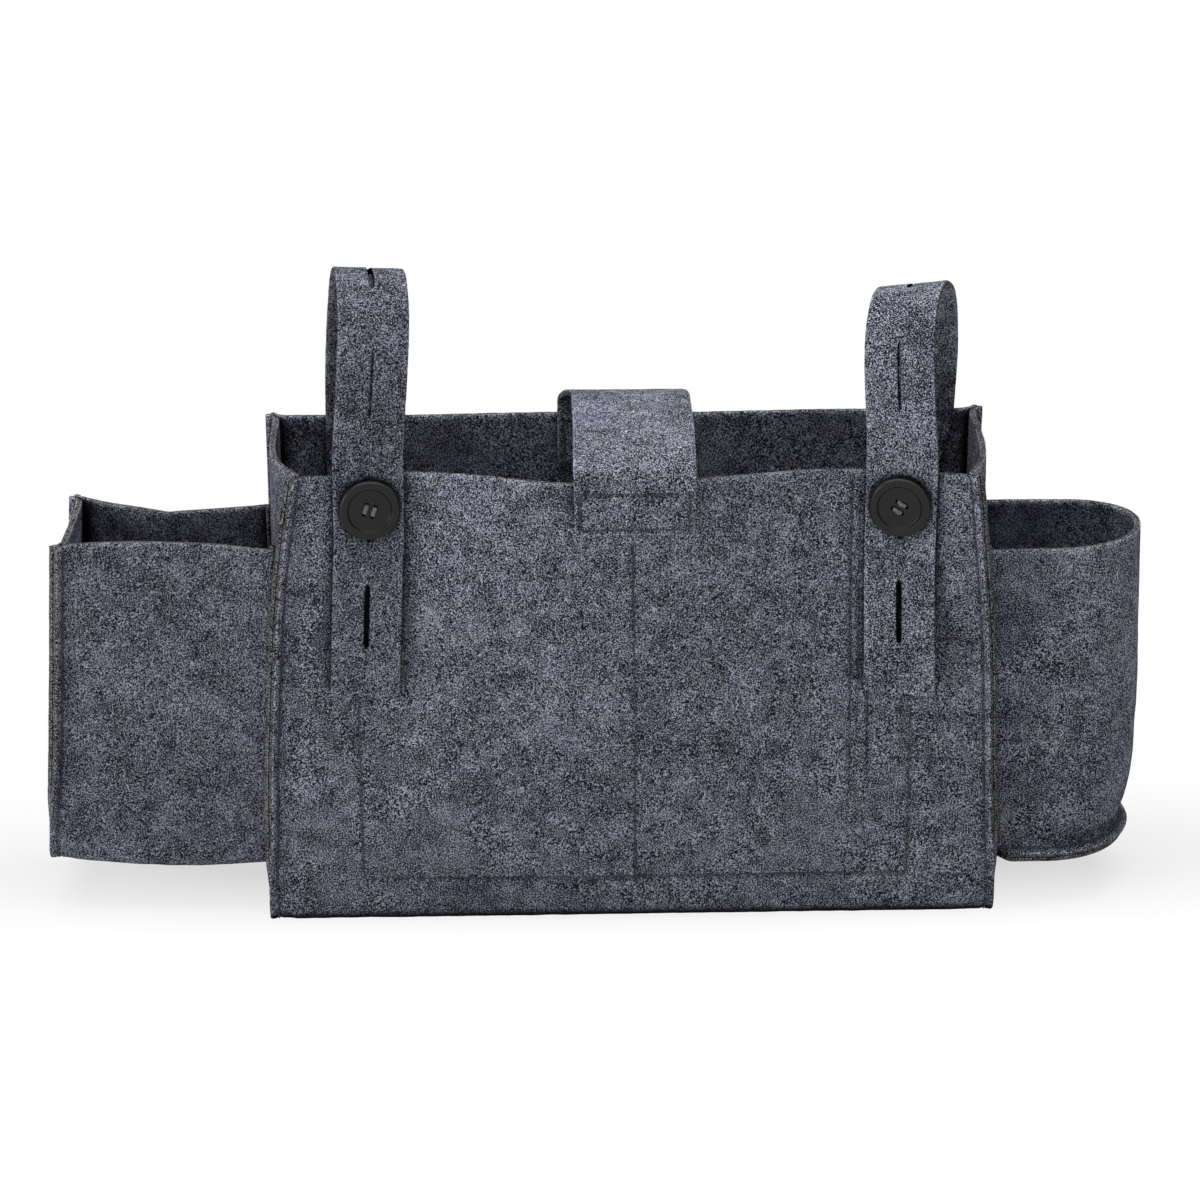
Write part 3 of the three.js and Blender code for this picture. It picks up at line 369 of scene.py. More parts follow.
def turned_alike(points, faces):
    """Drops unused points and turns the faces until neighbours agree which side is up."""
    mesh = bmesh.new()
    corners = [mesh.verts.new(p) for p in points]
    for face in faces:
        if not mesh.faces.get([corners[c] for c in face]):
            mesh.faces.new([corners[c] for c in face])
    bmesh.ops.delete(mesh, geom=[v for v in mesh.verts if not v.link_faces], context="VERTS")
    bmesh.ops.recalc_face_normals(mesh, faces=mesh.faces)
    mesh.verts.index_update()
    points = np.array([v.co for v in mesh.verts])
    faces = [[v.index for v in f.verts] for f in mesh.faces]
    mesh.free()
    return points, faces


def edge_tables(faces):
    """Every directed edge, and those at the border of the sheet."""
    directed = [(face[k - 1], c) for face in faces for k, c in enumerate(face)]
    known = set(directed)
    border = [(a, b) for a, b in directed if (b, a) not in known]
    return np.array(directed), np.array(border)


def length_along(line):
    """The length of a line up to each of its points."""
    return np.concatenate([[0], np.cumsum(np.linalg.norm(np.diff(line, axis=0), axis=1))])


def near_lines(points, lines):
    """How far each point lies from the nearest point of the lines, where it lies near them."""
    dots = np.concatenate(lines)
    tree = KDTree(len(dots))
    for k, dot in enumerate(dots):
        tree.insert(dot, k)
    tree.balance()
    found = np.full(len(points), np.inf)
    low, high = dots.min(0) - NEAR, dots.max(0) + NEAR
    for k in np.nonzero(np.all((points > low) & (points < high), axis=1))[0]:
        found[k] = tree.find(points[k])[2]
    return found


def relaxed(points, faces, chosen, rounds):
    """Rounds the bends: each chosen point moves towards its neighbours' middle."""
    directed, border = edge_tables(faces)
    rim = np.zeros(len(points), bool)
    rim[border.reshape(-1)] = True
    both = np.concatenate([directed, directed[:, ::-1]])
    inner = both[~rim[both[:, 0]]]
    outer = np.concatenate([border, border[:, ::-1]])
    links = np.concatenate([inner, outer])
    count = np.bincount(links[:, 0], minlength=len(points))[:, None]
    for _ in range(rounds):
        total = np.zeros_like(points)
        np.add.at(total, links[:, 0], points[links[:, 1]])
        middle = total / np.maximum(count, 1)
        points = np.where(chosen[:, None], lerp(points, middle, 0.5), points)
    return points


def face_normals(points, faces):
    """Each point's normal, weighted by the areas round it."""
    normals = np.zeros_like(points)
    for size in (3, 4):
        group = np.array([f for f in faces if len(f) == size])
        if len(group) == 0:
            continue
        a, b, c = points[group[:, 0]], points[group[:, 1]], points[group[:, 2]]
        d = points[group[:, -1]]
        way = np.cross(c - a, d - b) if size == 4 else np.cross(b - a, c - a)
        for k in range(size):
            np.add.at(normals, group[:, k], way)
    return unit(normals)


def lumps(points, size, seed):
    """Smooth noise from -1 to 1 at each point."""
    shift = Vector((seed * 7.1, seed * 3.3, seed * 5.7))
    return np.array([noise.noise(Vector(p) / size + shift) for p in points])


def settled(points):
    """The small unevenness of a hand-made thing. All layers at a place move together."""
    moved = np.array([noise.noise_vector(Vector(p) / SETTLE_SIZE) for p in points.reshape(-1, 3)])
    ground = smooth(points.reshape(-1, 3)[:, 2:] / SETTLE_GROUND)
    return points + (moved * ground * SETTLE_HEIGHT).reshape(points.shape)


def linked(name, mesh):
    obj = bpy.data.objects.new(name, mesh)
    bpy.context.scene.collection.objects.link(obj)
    return obj


def to_object(name, points, faces, materials, which=None, painted_shade_and_highlight=None):
    mesh = bpy.data.meshes.new(name)
    mesh.from_pydata((np.asarray(points) * MM).tolist(), [], [list(f) for f in faces])
    mesh.shade_smooth()
    for material in materials:
        mesh.materials.append(material)
    if which is not None:
        mesh.polygons.foreach_set("material_index", which)
    if painted_shade_and_highlight is not None:
        mesh.attributes.new("painted_shade_and_highlight", "FLOAT", "POINT").data.foreach_set("value", painted_shade_and_highlight)
    return linked(name, mesh)


def ways_out(points, normals, border, rim):
    """At each point of the sheet's rim, the way out of the sheet."""
    outward = np.zeros_like(points)
    for a, b in border:
        way = np.cross(points[b] - points[a], normals[a] + normals[b])
        outward[a] += way
        outward[b] += way
    return unit(outward[rim])


def felt_sheet(name, grids, materials, thickness=FELT, bends=(), seams=(), slits=()):
    """A sheet of felt: its middle surface with rounded bends, drawn thin along its seams' stitches,
    with soft rims that show the cut edge and crisp slits."""
    points, faces = turned_alike(*weld(grids))
    if bends:
        chosen = near_lines(points, bends) < BEND_REACH
        points = relaxed(points, faces, chosen, BEND_ROUNDS)
    half = np.full(len(points), thickness / 2)
    _, border = edge_tables(faces)
    rim = np.unique(border)
    # Painted shade and highlight: the felt's colour is darkened along seams and beside slits, and lightened
    # at the rim
    painted_shade_and_highlight = np.zeros(len(points))
    painted_shade_and_highlight[rim] = -RIM_GLEAM
    if seams:
        distance = near_lines(points, seams)
        half = half - PINCH_DEPTH * np.exp(-((distance / PINCH_REACH) ** 2))
        painted_shade_and_highlight += SEAM_SHADE * np.exp(-((distance / SEAM_REACH) ** 2))
    at_slit = near_lines(points, slits) < SLIT_REACH if slits else np.zeros(len(points), bool)
    painted_shade_and_highlight[at_slit] = SLIT_SHADE
    points = settled(points)
    normals = face_normals(points, faces)
    points = points + normals * (LUMP_HEIGHT * lumps(points, LUMP_SIZE, 1))[:, None]
    half = half * (1 + SWELL_SHARE * lumps(points, SWELL_SIZE, 2))
    count = len(points)
    outward = ways_out(points, normals, border, rim)
    soft = np.where(at_slit[rim], SLIT_ROUND, RIM_ROUND)[:, None]
    uneven = np.where(at_slit[rim], SLIT_UNEVEN, RIM_UNEVEN) * lumps(points[rim], RIM_SIZE, 3)
    lift = normals * half[:, None]
    top, bottom = points + lift, points - lift
    top[rim] -= outward * soft
    bottom[rim] -= outward * soft
    edge = outward * uneven[:, None]
    upper = points[rim] + normals[rim] * (half[rim, None] - soft) + edge
    lower = points[rim] - normals[rim] * (half[rim, None] - soft) + edge
    place_of = np.full(count, -1)
    place_of[rim] = np.arange(len(rim))
    solid = [list(f) for f in faces] + [[count + c for c in reversed(f)] for f in faces]
    which = [0] * len(solid)
    start_upper, start_lower = 2 * count, 2 * count + len(rim)
    for a, b in border.tolist():
        ua, ub = start_upper + place_of[a], start_upper + place_of[b]
        la, lb = start_lower + place_of[a], start_lower + place_of[b]
        solid += [[b, a, ua, ub], [ub, ua, la, lb], [lb, la, count + a, count + b]]
        # A slit's walls take the near-black felt: painted shade deep in the slit
        which += [2, 2, 2] if at_slit[a] and at_slit[b] else [0, 1, 0]
    return to_object(
        name, np.concatenate([top, bottom, upper, lower]), solid, materials, which,
        np.concatenate([painted_shade_and_highlight, painted_shade_and_highlight, painted_shade_and_highlight[rim], painted_shade_and_highlight[rim]]),
    )


def strand_faces(rings, sides):
    """The walls and the two end caps of a strand made of rings of points."""
    walls = []
    for k in range(rings - 1):
        for s in range(sides):
            n = (s + 1) % sides
            walls.append([k * sides + s, k * sides + n, (k + 1) * sides + n, (k + 1) * sides + s])
    last = (rings - 1) * sides
    return walls, [list(reversed(range(sides))), [last + s for s in range(sides)]]


def stitch_template():
    """One stitch along +X on the plane z = 0, its ends drawn into the felt."""
    along = np.array([-0.5, -0.36, 0.0, 0.36, 0.5]) * STITCH_LENGTH
    radii = np.array([0.35, 0.85, 1.0, 0.85, 0.35]) * STITCH_RADIUS
    sink = np.array([-0.5, -0.12, 0.06, -0.12, -0.5])
    sides = 6
    angles = round_angles(sides)
    rings = [place(x, r * np.cos(angles), s + r * np.sin(angles)) for x, r, s in zip(along, radii, sink)]
    walls, caps = strand_faces(len(along), sides)
    return np.concatenate(rings), [wall[::-1] for wall in walls] + caps


STITCH = stitch_template()


def joined(pieces):
    """One set of points and faces made of many."""
    points, faces, start = [], [], 0
    for some, sides in pieces:
        points.append(some)
        faces += [[start + c for c in face] for face in sides]
        start += len(some)
    return np.concatenate(points), faces


def at_marks(marks, length, values):
    """The values of a line's points, read at marks along its length."""
    return np.stack([np.interp(marks, length, values[:, k]) for k in range(3)], axis=1)


def stitches(name, runs, node, body="bag", pitch=STITCH_PITCH):
    """Stitches along runs of (line, way off the felt), each line on the felt's middle surface."""
    pieces = []
    shape, sides = STITCH
    rise = FELT / 2 - PINCH_DEPTH + STITCH_RADIUS * 0.7
    for line, off in runs:
        off = np.broadcast_to(off, line.shape)
        length = length_along(line)
        count = max(1, int(length[-1] / pitch))
        marks = (np.arange(count) + 0.5) * length[-1] / count
        at = at_marks(marks, length, line)
        lift = unit(at_marks(marks, length, off))
        step = STITCH_LENGTH / 4
        along = unit(at_marks(marks + step, length, line) - at_marks(marks - step, length, line))
        across = unit(np.cross(lift, along))
        at = settled(at + lift * rise)
        for spot, *axes in zip(at, along, across, lift):
            pieces.append((spot + shape @ np.stack(axes), sides))
    obj = to_object(name, *joined(pieces), [dark_thread])
    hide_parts(node)
    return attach(obj, body)


# Materials
def shader(name):
    material = bpy.data.materials.new(name)
    material.use_nodes = True
    tree = material.node_tree
    return material, tree, tree.nodes["Principled BSDF"]


def filled(tree, made, values):
    """A node whose sockets are linked or set."""
    for socket, value in values.items():
        if isinstance(value, bpy.types.NodeSocket):
            tree.links.new(value, made.inputs[socket])
        else:
            made.inputs[socket].default_value = value
    return made


def node(tree, kind, values=(), **settings):
    made = tree.nodes.new(kind)
    for key, value in settings.items():
        setattr(made, key, value)
    return filled(tree, made, dict(values))


def sum_of(tree, kind, a, b):
    return node(tree, "ShaderNodeMath", {0: a, 1: b}, operation=kind).outputs[0]


def ranged(tree, value, low, high, start=0.0, end=1.0):
    values = {"Value": value, "From Min": low, "From Max": high, "To Min": start, "To Max": end}
    return node(tree, "ShaderNodeMapRange", values).outputs["Result"]


def mixed(tree, share, a, b):
    return node(tree, "ShaderNodeMix", {0: share, 6: a, 7: b}, data_type="RGBA").outputs[2]


def noise_at(tree, vector, scale, detail=2.0, roughness=0.55):
    values = {"Vector": vector, "Scale": scale, "Detail": detail, "Roughness": roughness}
    return node(tree, "ShaderNodeTexNoise", values).outputs["Fac"]


def moved_spot(tree, spot, factors, shift):
    """A place times factors plus a shift."""
    values = {0: spot, 1: factors, 2: shift}
    return node(tree, "ShaderNodeVectorMath", values, operation="MULTIPLY_ADD").outputs[0]


def object_spot(tree):
    return node(tree, "ShaderNodeTexCoord").outputs["Object"]


def bump(tree, height, strength, distance):
    values = {"Height": height, "Strength": strength, "Distance": distance * MM}
    return node(tree, "ShaderNodeBump", values).outputs[0]


# How far the shade reaches out of a nook between two felts
NOOK_REACH = 9.0

# Felt's grain, in cells along a metre: strands and the waves that bend them, specks, colours and fuzz
STRANDS = 800.0
WAVES = 420.0
WAVE_HEIGHT = 3.0
SPECKS = 1550.0
HUES = 48.0
FUZZ = 260.0

# What has no shine
MATTE = {"Roughness": 1.0, "Specular IOR Level": 0.0}

# Felt's soft blotches: how many lie along a metre, and by how much they change its lightness
MARL = [(230.0, 0.26), (75.0, 0.28), (17.0, 0.16)]


def felt_material(name, dark, light, warm):
    """Marled felt: pale strands among dark ones, in soft blotches that are cool here and warm there."""
    material, tree, surface = shader(name)
    spot = object_spot(tree)
    waves = {"Vector": spot, "Scale": WAVES, "Detail": 1.0}
    wander = node(tree, "ShaderNodeTexNoise", waves).outputs["Color"]
    pushed = moved_spot(tree, wander, [WAVE_HEIGHT * MM] * 3, spot)
    cells = {"Vector": pushed, "Scale": STRANDS}
    cell = node(tree, "ShaderNodeTexVoronoi", cells, feature="DISTANCE_TO_EDGE").outputs["Distance"]
    strand = ranged(tree, cell, 0.0, 0.16, 0.36, -0.06)
    marl = ranged(tree, noise_at(tree, spot, SPECKS, 0.0), 0.36, 0.74)
    marl.node.clamp = False
    marl = sum_of(tree, "ADD", marl, strand)
    for scale, amount in MARL:
        blotch = noise_at(tree, spot, scale, 2.0, 0.6)
        marl = sum_of(tree, "ADD", marl, ranged(tree, blotch, 0.3, 0.7, -amount / 2, amount / 2))
    marl = sum_of(tree, "POWER", ranged(tree, marl, 0.0, 1.15), 1.8)
    # Painted shade at seams and slits and a painted highlight at rims, carried from the sheet's points
    painted_shade_and_highlight = node(tree, "ShaderNodeAttribute", attribute_name="painted_shade_and_highlight").outputs["Fac"]
    marl = sum_of(tree, "MULTIPLY", marl, sum_of(tree, "SUBTRACT", 1.0, painted_shade_and_highlight))
    hue = ranged(tree, noise_at(tree, spot, HUES, 2.0, 0.5), 0.38, 0.62)
    pale = mixed(tree, hue, (*light, 1), (*warm, 1))
    nook = node(tree, "ShaderNodeAmbientOcclusion", {"Distance": NOOK_REACH * MM}, samples=8).outputs["AO"]
    lit = ranged(tree, nook, 0.48, 0.95, 0.04, 1.0)
    colour = mixed(tree, lit, (*dark, 1), mixed(tree, marl, (*dark, 1), pale))
    height = sum_of(tree, "ADD", marl, noise_at(tree, spot, FUZZ, 2.0, 0.6))
    filled(tree, surface, {"Base Color": colour, "Normal": bump(tree, height, 0.5, 0.5), **MATTE})
    return material


def thread_material(name, dark, light):
    """Spun thread, with the twist of its plies."""
    material, tree, surface = shader(name)
    plies = {"Vector": object_spot(tree), "Scale": 900.0, "Distortion": 3.0}
    twist = node(tree, "ShaderNodeTexWave", plies, bands_direction="DIAGONAL").outputs["Fac"]
    colour = mixed(tree, twist, (*dark, 1), (*light, 1))
    values = {"Base Color": colour, "Normal": bump(tree, twist, 0.5, 0.1), "Roughness": 0.6}
    filled(tree, surface, {**values, "Sheen Weight": 0.3})
    return material


def plastic_material(name, color):
    """Satin moulded plastic with faint scuffs."""
    material, tree, surface = shader(name)
    scuffs = noise_at(tree, object_spot(tree), 380.0, 4.0, 0.7)
    paler = [3 * part for part in color]
    scuffed = mixed(tree, ranged(tree, scuffs, 0.5, 0.9, 0.0, 0.5), (*color, 1), (*paler, 1))
    rough = ranged(tree, scuffs, 0.3, 0.7, 0.26, 0.44)
    values = {"Base Color": scuffed, "Normal": bump(tree, scuffs, 0.15, 0.1), "Roughness": rough}
    filled(tree, surface, {**values, "Specular IOR Level": 0.3})
    return material


FELT_DARK = (0.014, 0.0145, 0.019)
FELT_LIGHT = (0.66, 0.695, 0.88)
FELT_WARM = (0.66, 0.69, 0.815)
# A darker copy of the same felt, for the left pocket and the left strap: painted shade
SHADED_COPY_SHARE = 0.76
shaded_copy_light, shaded_copy_warm = ([SHADED_COPY_SHARE * part for part in tone] for tone in (FELT_LIGHT, FELT_WARM))
felt_look = felt_material("charcoal_felt", FELT_DARK, FELT_LIGHT, FELT_WARM)
shaded_copy_look = felt_material("shaded_copy_felt", FELT_DARK, shaded_copy_light, shaded_copy_warm)
cut_look = felt_material("cut_felt", (0.01, 0.009, 0.009), (0.34, 0.33, 0.33), (0.34, 0.322, 0.31))
# Near-black felt for the walls of a slit: painted shade
slit_shade_look = felt_material("slit_painted_shade_felt", (0.002, 0.002, 0.002), (0.016, 0.016, 0.018), (0.016, 0.016, 0.016))
dark_thread = thread_material("dark_thread", (0.012, 0.012, 0.014), (0.05, 0.05, 0.055))
grey_thread = thread_material("grey_thread", (0.05, 0.05, 0.055), (0.3, 0.3, 0.31))
button_look = plastic_material("black_plastic", (0.005, 0.005, 0.0055))
tape_look = felt_material("tape", (0.004, 0.004, 0.005), (0.05, 0.05, 0.055), (0.05, 0.05, 0.05))
FELT_LOOKS = [felt_look, cut_look, slit_shade_look]
SHADED_COPY_LOOKS = [shaded_copy_look, cut_look, slit_shade_look]


def dressed(obj, nodes, body="bag"):
    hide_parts(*nodes)
    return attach(obj, body)


# The standing edge of a seam, outwards from the line where its layer bends.
FLANGE_STEPS = np.arange(0.0, SEAM_ALLOWANCE + 0.5)


def flange_grid(line, along):
    return line[:, None, :] + along[:, None, :] * FLANGE_STEPS[None, :, None]


# Body panel
STEADY_X = 143.0
RIDGE_X = 113.0
RIDGE_SPREAD = 2.2
RIDGE_WIDTH = 1.1
RIDGE_HEIGHT = 0.7
RIDGE_BASE = 25.0
RIDGE_FOOT = 75.0
RIDGE_TAPER_SHARE = 0.15
stitch_columns = [*ORGANIZER_LINES, RIDGE_X]


def front_ridge(x, z):
    """The double ridge that a fold of the organizer presses into the front."""
    tall = smooth((z - RIDGE_BASE) / 20) * smooth((BODY_HEIGHT - z) / 10)
    pair = sum(np.exp(-(((x - RIDGE_X + way * RIDGE_SPREAD) / RIDGE_WIDTH) ** 2)) for way in (-1, 1))
    return RIDGE_HEIGHT * pair * tall


def body_grid():
    wrap = body_wrap
    half = BODY_WIDTH / 2
    x0 = places(-half, half, PANEL_STEP, lines=[-half, half, *stitch_columns])[None, :]
    z = wrap.z[:, None]
    beyond = clamp((np.abs(x0) - STEADY_X) / (half - STEADY_X))
    edge = np.where(x0 < 0, -front_edge_x(-1, z), front_edge_x(1, z))
    front_x = np.where(beyond > 0, np.sign(x0) * lerp(STEADY_X, edge, beyond), x0)
    in_front = wrap.in_front[:, None]
    x = np.where(in_front, front_x, x0)
    y = wrap.y[:, None] - np.where(in_front, wave(front_share(x, z), z) + front_ridge(x, z), 0)
    return place(x, y, z)


def seam_line(edge, along):
    return edge + along * STITCH_INSET


organizer_rise = np.linspace(ORGANIZER_BOTTOM, ORGANIZER_TOP - ORGANIZER_HEM, 120)
organizer_reach = np.linspace(ORGANIZER_LINES[0], ORGANIZER_LINES[2], 180)


def organizer_point(x, z):
    left, middle, right = ORGANIZER_LINES
    start = np.where(x < middle, left, middle)
    end = np.where(x < middle, middle, right)
    share = clamp((x - start - ORGANIZER_HEM) / (end - start - 2 * ORGANIZER_HEM))
    opened = smooth((z - ORGANIZER_BOTTOM - 2 * ORGANIZER_HEM) / (ORGANIZER_TOP / 4))
    bow = ORGANIZER_BOW * np.sin(math.pi * share) * opened
    return place(x, front_y(x, z) + POCKET_INSET + bow, z)


organizer_lines = {
    "left": (ORGANIZER_LINES[0], organizer_rise),
    "middle": (ORGANIZER_LINES[1], organizer_rise),
    "right": (ORGANIZER_LINES[2], organizer_rise),
    "bottom": (organizer_reach, ORGANIZER_BOTTOM),
}
front_lines = {k: place(x, front_y(x, z), z) for k, (x, z) in organizer_lines.items()}
inner_lines = {k: organizer_point(x, z) for k, (x, z) in organizer_lines.items()}


def build_body():
    bends, seams, grids = [], list(front_lines.values()), [body_grid()]
    z = np.arange(RIDGE_FOOT, BODY_HEIGHT - FELT)
    for way in (-1, 1):
        x = RIDGE_X + way * 2 * RIDGE_SPREAD * (1 - RIDGE_TAPER_SHARE * (z - RIDGE_FOOT) / BODY_HEIGHT)
        seams.append(place(x, front_y(x, z), z))
    for side in (-1, 1):
        along, _ = body_wrap.seam_ways(side)
        edge = body_edge(side)
        grids.append(flange_grid(edge, along))
        bends.append(edge)
        seams.append(seam_line(edge, along))
    body = felt_sheet("body_felt", grids, FELT_LOOKS, bends=bends, seams=seams)
    dressed(body, ["body_panel"])


def gusset_grids(wrap, edges, side, curl):
    """A gusset's middle surface, from the seam line round its front, base and back."""
    along, _ = wrap.seam_ways(side)
    last = len(edges) - 1
    floor = edges[wrap.corner : last - wrap.corner + 1]
    wall = wrap.wall_start
    share = (floor[:, 1] - edges[wall][1]) / (edges[last - wall][1] - edges[wall][1])
    rows = [floor]
    for k in range(wrap.corner - 1, -1, -1):
        front, back = edges[min(k, wall)], edges[last - min(k, wall)]
        z = lerp(edges[k][2], edges[last - k][2], share)
        row = place(lerp(back[0], front[0], (1 - share) ** curl), lerp(front[1], back[1], share), z)
        row[0], row[-1] = edges[k], edges[last - k]
        rows.append(row)
    return [flange_grid(edges, along), np.array(rows)]


def build_gusset(side, wrap, bag_edge, curl, name, node_name, extra_seams=()):
    along, apart = wrap.seam_ways(side)
    edges = bag_edge - apart * SEAM_PITCH
    inner_line = seam_line(edges, along)
    outer_line = seam_line(bag_edge, along)
    grids = gusset_grids(wrap, edges, side, curl)
    gusset = felt_sheet(name, grids, FELT_LOOKS, bends=[edges], seams=[inner_line, *extra_seams])
    dressed(gusset, [node_name])
    stitches(f"{name}_stitches", [(outer_line, apart), (inner_line, -apart)], f"{node_name}_stitching")


# Left side pocket
left_wrap = Wrap(
    -LEFT_FRONT + FELT / 2, LEFT_DEPTH - LEFT_FRONT - FELT / 2, LEFT_BOTTOM + FELT / 2,
    np.linspace(LEFT_TOP, LEFT_BOTTOM + FELT / 2 + FOLD_RADIUS, 56, endpoint=False), 20,
)


def left_pocket_points(share):
    """The pocket's panel at shares of its width: 0 beside the bag, 1 at the outer seam."""
    wrap = left_wrap
    share = np.atleast_1d(share)[None, :]
    z = wrap.z[:, None]
    rise = clamp((z - LEFT_BOTTOM) / (LEFT_TOP - LEFT_BOTTOM))
    creased = np.minimum(share / CREASE_SHARE, (1 - share) / (1 - CREASE_SHARE)) ** CREASE_POWER
    give = np.where(wrap.in_front[:, None], LEFT_FRONT_DENT * hump(share), -LEFT_BACK_DENT * creased)
    give = np.where(np.abs(wrap.angle - QUARTER)[:, None] < 1e-6, 0, give)
    y = wrap.y[:, None] + (LEFT_SKEW + LEFT_RIM_SKEW * rise) * share + give * rise
    inner = gusset_x(-1, y, z) - POCKET_INSET
    outer = -BODY_WIDTH / 2 - LEFT_REACH + LEFT_TAPER * rise
    sag = hump(share) * LEFT_SAG * (1 - smooth(wrap.climb / FLARE_HEIGHT))[:, None]
    return place(lerp(inner, outer, share), y, z - sag)


hem_shares = np.linspace(0, 1, 9)


def pocket_hem(side, line, out, reach=POCKET_HEM):
    """The hem of a pocket, from its bend inwards along the main gusset, and the hem's stitch line."""
    def at(reach, shares):
        reach = np.broadcast_to(reach, len(line))[:, None] * shares[None, :]
        return on_gusset(side, line[:, 1:2] - out[:, 1:2] * reach, line[:, 2:3] - out[:, 2:3] * reach)

    hem = at(reach, hem_shares)
    hem[:, 0] = line
    return hem, at(POCKET_HEM, np.array([0.5]))[:, 0]


def build_left_pocket():
    width_shares = places(0, LEFT_REACH, PANEL_STEP, lines=[0, LEFT_REACH]) / LEFT_REACH
    grid = left_pocket_points(width_shares)
    inner = grid[:, 0]
    outer = grid[:, -1]
    along, _ = left_wrap.seam_ways(-1)
    hem, hem_line = pocket_hem(-1, inner, left_wrap.out, left_wrap.hem_reach)
    panel = felt_sheet(
        "left_pocket_felt", [grid, hem, flange_grid(outer, along)], SHADED_COPY_LOOKS,
        bends=[inner, outer], seams=[hem_line, seam_line(outer, along)],
    )
    dressed(panel, ["left_pocket_panel"])
    build_gusset(-1, left_wrap, outer, 1, "left_pocket_end", "left_pocket_gusset")
    inside = hem_line + ACROSS * POCKET_INSET
    runs = [(hem_line, -ACROSS), (inside, ACROSS)]
    stitches("left_pocket_hem_stitches", runs, "left_pocket_side_stitching")
    return inside


# Right side pocket
WALL_FRONT = -RIGHT_FRONT + FELT / 2
WALL_BACK = RIGHT_DEPTH - RIGHT_FRONT - FELT / 2
WALL_REACH = BODY_WIDTH / 2 + RIGHT_REACH
SIDE_X = BODY_WIDTH / 2


def wall_plan():
    """The wall's outline from above, and the way out of the pocket at each stop."""
    front_x, back_x = WALL_REACH - RIGHT_FRONT_RADIUS, WALL_REACH - RIGHT_BACK_RADIUS
    straight = places(0, 1, 0.07, lines=[0], reach=0.12, fine=0.02)[:-1]
    front_turn = np.linspace(-QUARTER, 0, 22)
    back_turn = np.linspace(0, QUARTER, 32)
    front = place(lerp(SIDE_X, front_x, straight), WALL_FRONT, 0)
    back = place(lerp(SIDE_X, back_x, straight[::-1]), WALL_BACK, 0)
    outs = [place(np.cos(turn), np.sin(turn), 0) for turn in (front_turn, back_turn)]
    arcs = [
        place(front_x, WALL_FRONT + RIGHT_FRONT_RADIUS, 0) + RIGHT_FRONT_RADIUS * outs[0],
        place(back_x, WALL_BACK - RIGHT_BACK_RADIUS, 0) + RIGHT_BACK_RADIUS * outs[1],
    ]
    stops = np.concatenate([front, arcs[0], arcs[1][1:], back])
    front_out, back_out = np.tile(FORWARD, (len(front), 1)), np.tile(-FORWARD, (len(back), 1))
    return stops, np.concatenate([front_out, outs[0], outs[1][1:], back_out])


wall_stops, wall_out = wall_plan()


def wall_points(z):
    rise = (z - RIGHT_BOTTOM) / (RIGHT_TOP - RIGHT_BOTTOM)
    reach_share = (wall_stops[:, 0] - SIDE_X) / (WALL_REACH - SIDE_X)
    inner = gusset_x(1, wall_stops[:, 1], z) + POCKET_INSET
    x = wall_stops[:, 0] - RIGHT_TAPER * tabled(WALL_TAPER, rise) * reach_share
    return place(np.where(reach_share == 0, inner, x), wall_stops[:, 1], z)


def build_right_pocket():
    heights = places(RIGHT_BOTTOM, RIGHT_TOP, PANEL_STEP, lines=[RIGHT_BOTTOM])
    rows = np.array([wall_points(z) for z in heights[::-1]])
    foot = rows[-1]
    apart, inwards = turned(wall_out, UP, WALL_FLARE)
    along = -inwards
    edge_share = lerp(1 / 8, 1, smooth((wall_stops[:, 0] - SIDE_X - FELT) / (2 * SEAM_ALLOWANCE)))[:, None]
    flange = flange_grid(foot, along * edge_share)
    hems, lines, hem_lines = [], [foot], []
    for column, out in ((rows[:, 0], FORWARD), (rows[:, -1], -FORWARD)):
        hem, hem_line = pocket_hem(1, column, np.tile(out, (len(column), 1)))
        hems.append(hem)
        lines.append(column)
        hem_lines.append(hem_line)
    wall_seam = seam_line(foot, along)
    wall = felt_sheet(
        "right_pocket_felt", [rows, flange, *hems], FELT_LOOKS, bends=lines, seams=[wall_seam, *hem_lines]
    )
    dressed(wall, ["right_pocket_wall"])
    rim = foot - apart * SEAM_PITCH
    side_y = np.linspace(rim[-1][1] - POCKET_HEM - FELT, rim[0][1] + POCKET_HEM + FELT, 24)
    side = on_gusset(1, side_y, rim[0][2])
    loop = np.concatenate([rim, side, rim[:1]])
    centre = np.array([lerp(SIDE_X, WALL_REACH, 0.4), (WALL_FRONT + WALL_BACK) / 2, rim[0][2]])
    rings = np.array([lerp(loop, centre, share) for share in np.linspace(0, 1, 16)])
    base_flange = flange_grid(rim, along * edge_share)
    turn_up = np.array([on_gusset(1, side_y, rim[0][2] + share * POCKET_HEM) for share in hem_shares])
    base_seam = seam_line(rim, along)
    base = felt_sheet(
        "right_pocket_floor", [rings, base_flange, turn_up], FELT_LOOKS, bends=[rim, side], seams=[base_seam]
    )
    dressed(base, ["right_pocket_base"])
    inner = slice(1, -1)
    stitches(
        "right_pocket_floor_stitches",
        [(wall_seam[inner], apart[inner]), (base_seam[inner], -apart[inner])],
        "right_pocket_base_stitching",
    )
    insides = []
    for line, name in zip(hem_lines, ("front", "back")):
        inside = line - ACROSS * POCKET_INSET
        insides.append(inside)
        stitches(
            f"right_pocket_{name}_hem_stitches", [(line, ACROSS), (inside, -ACROSS)],
            f"right_pocket_{name}_stitching",
        )
    return insides


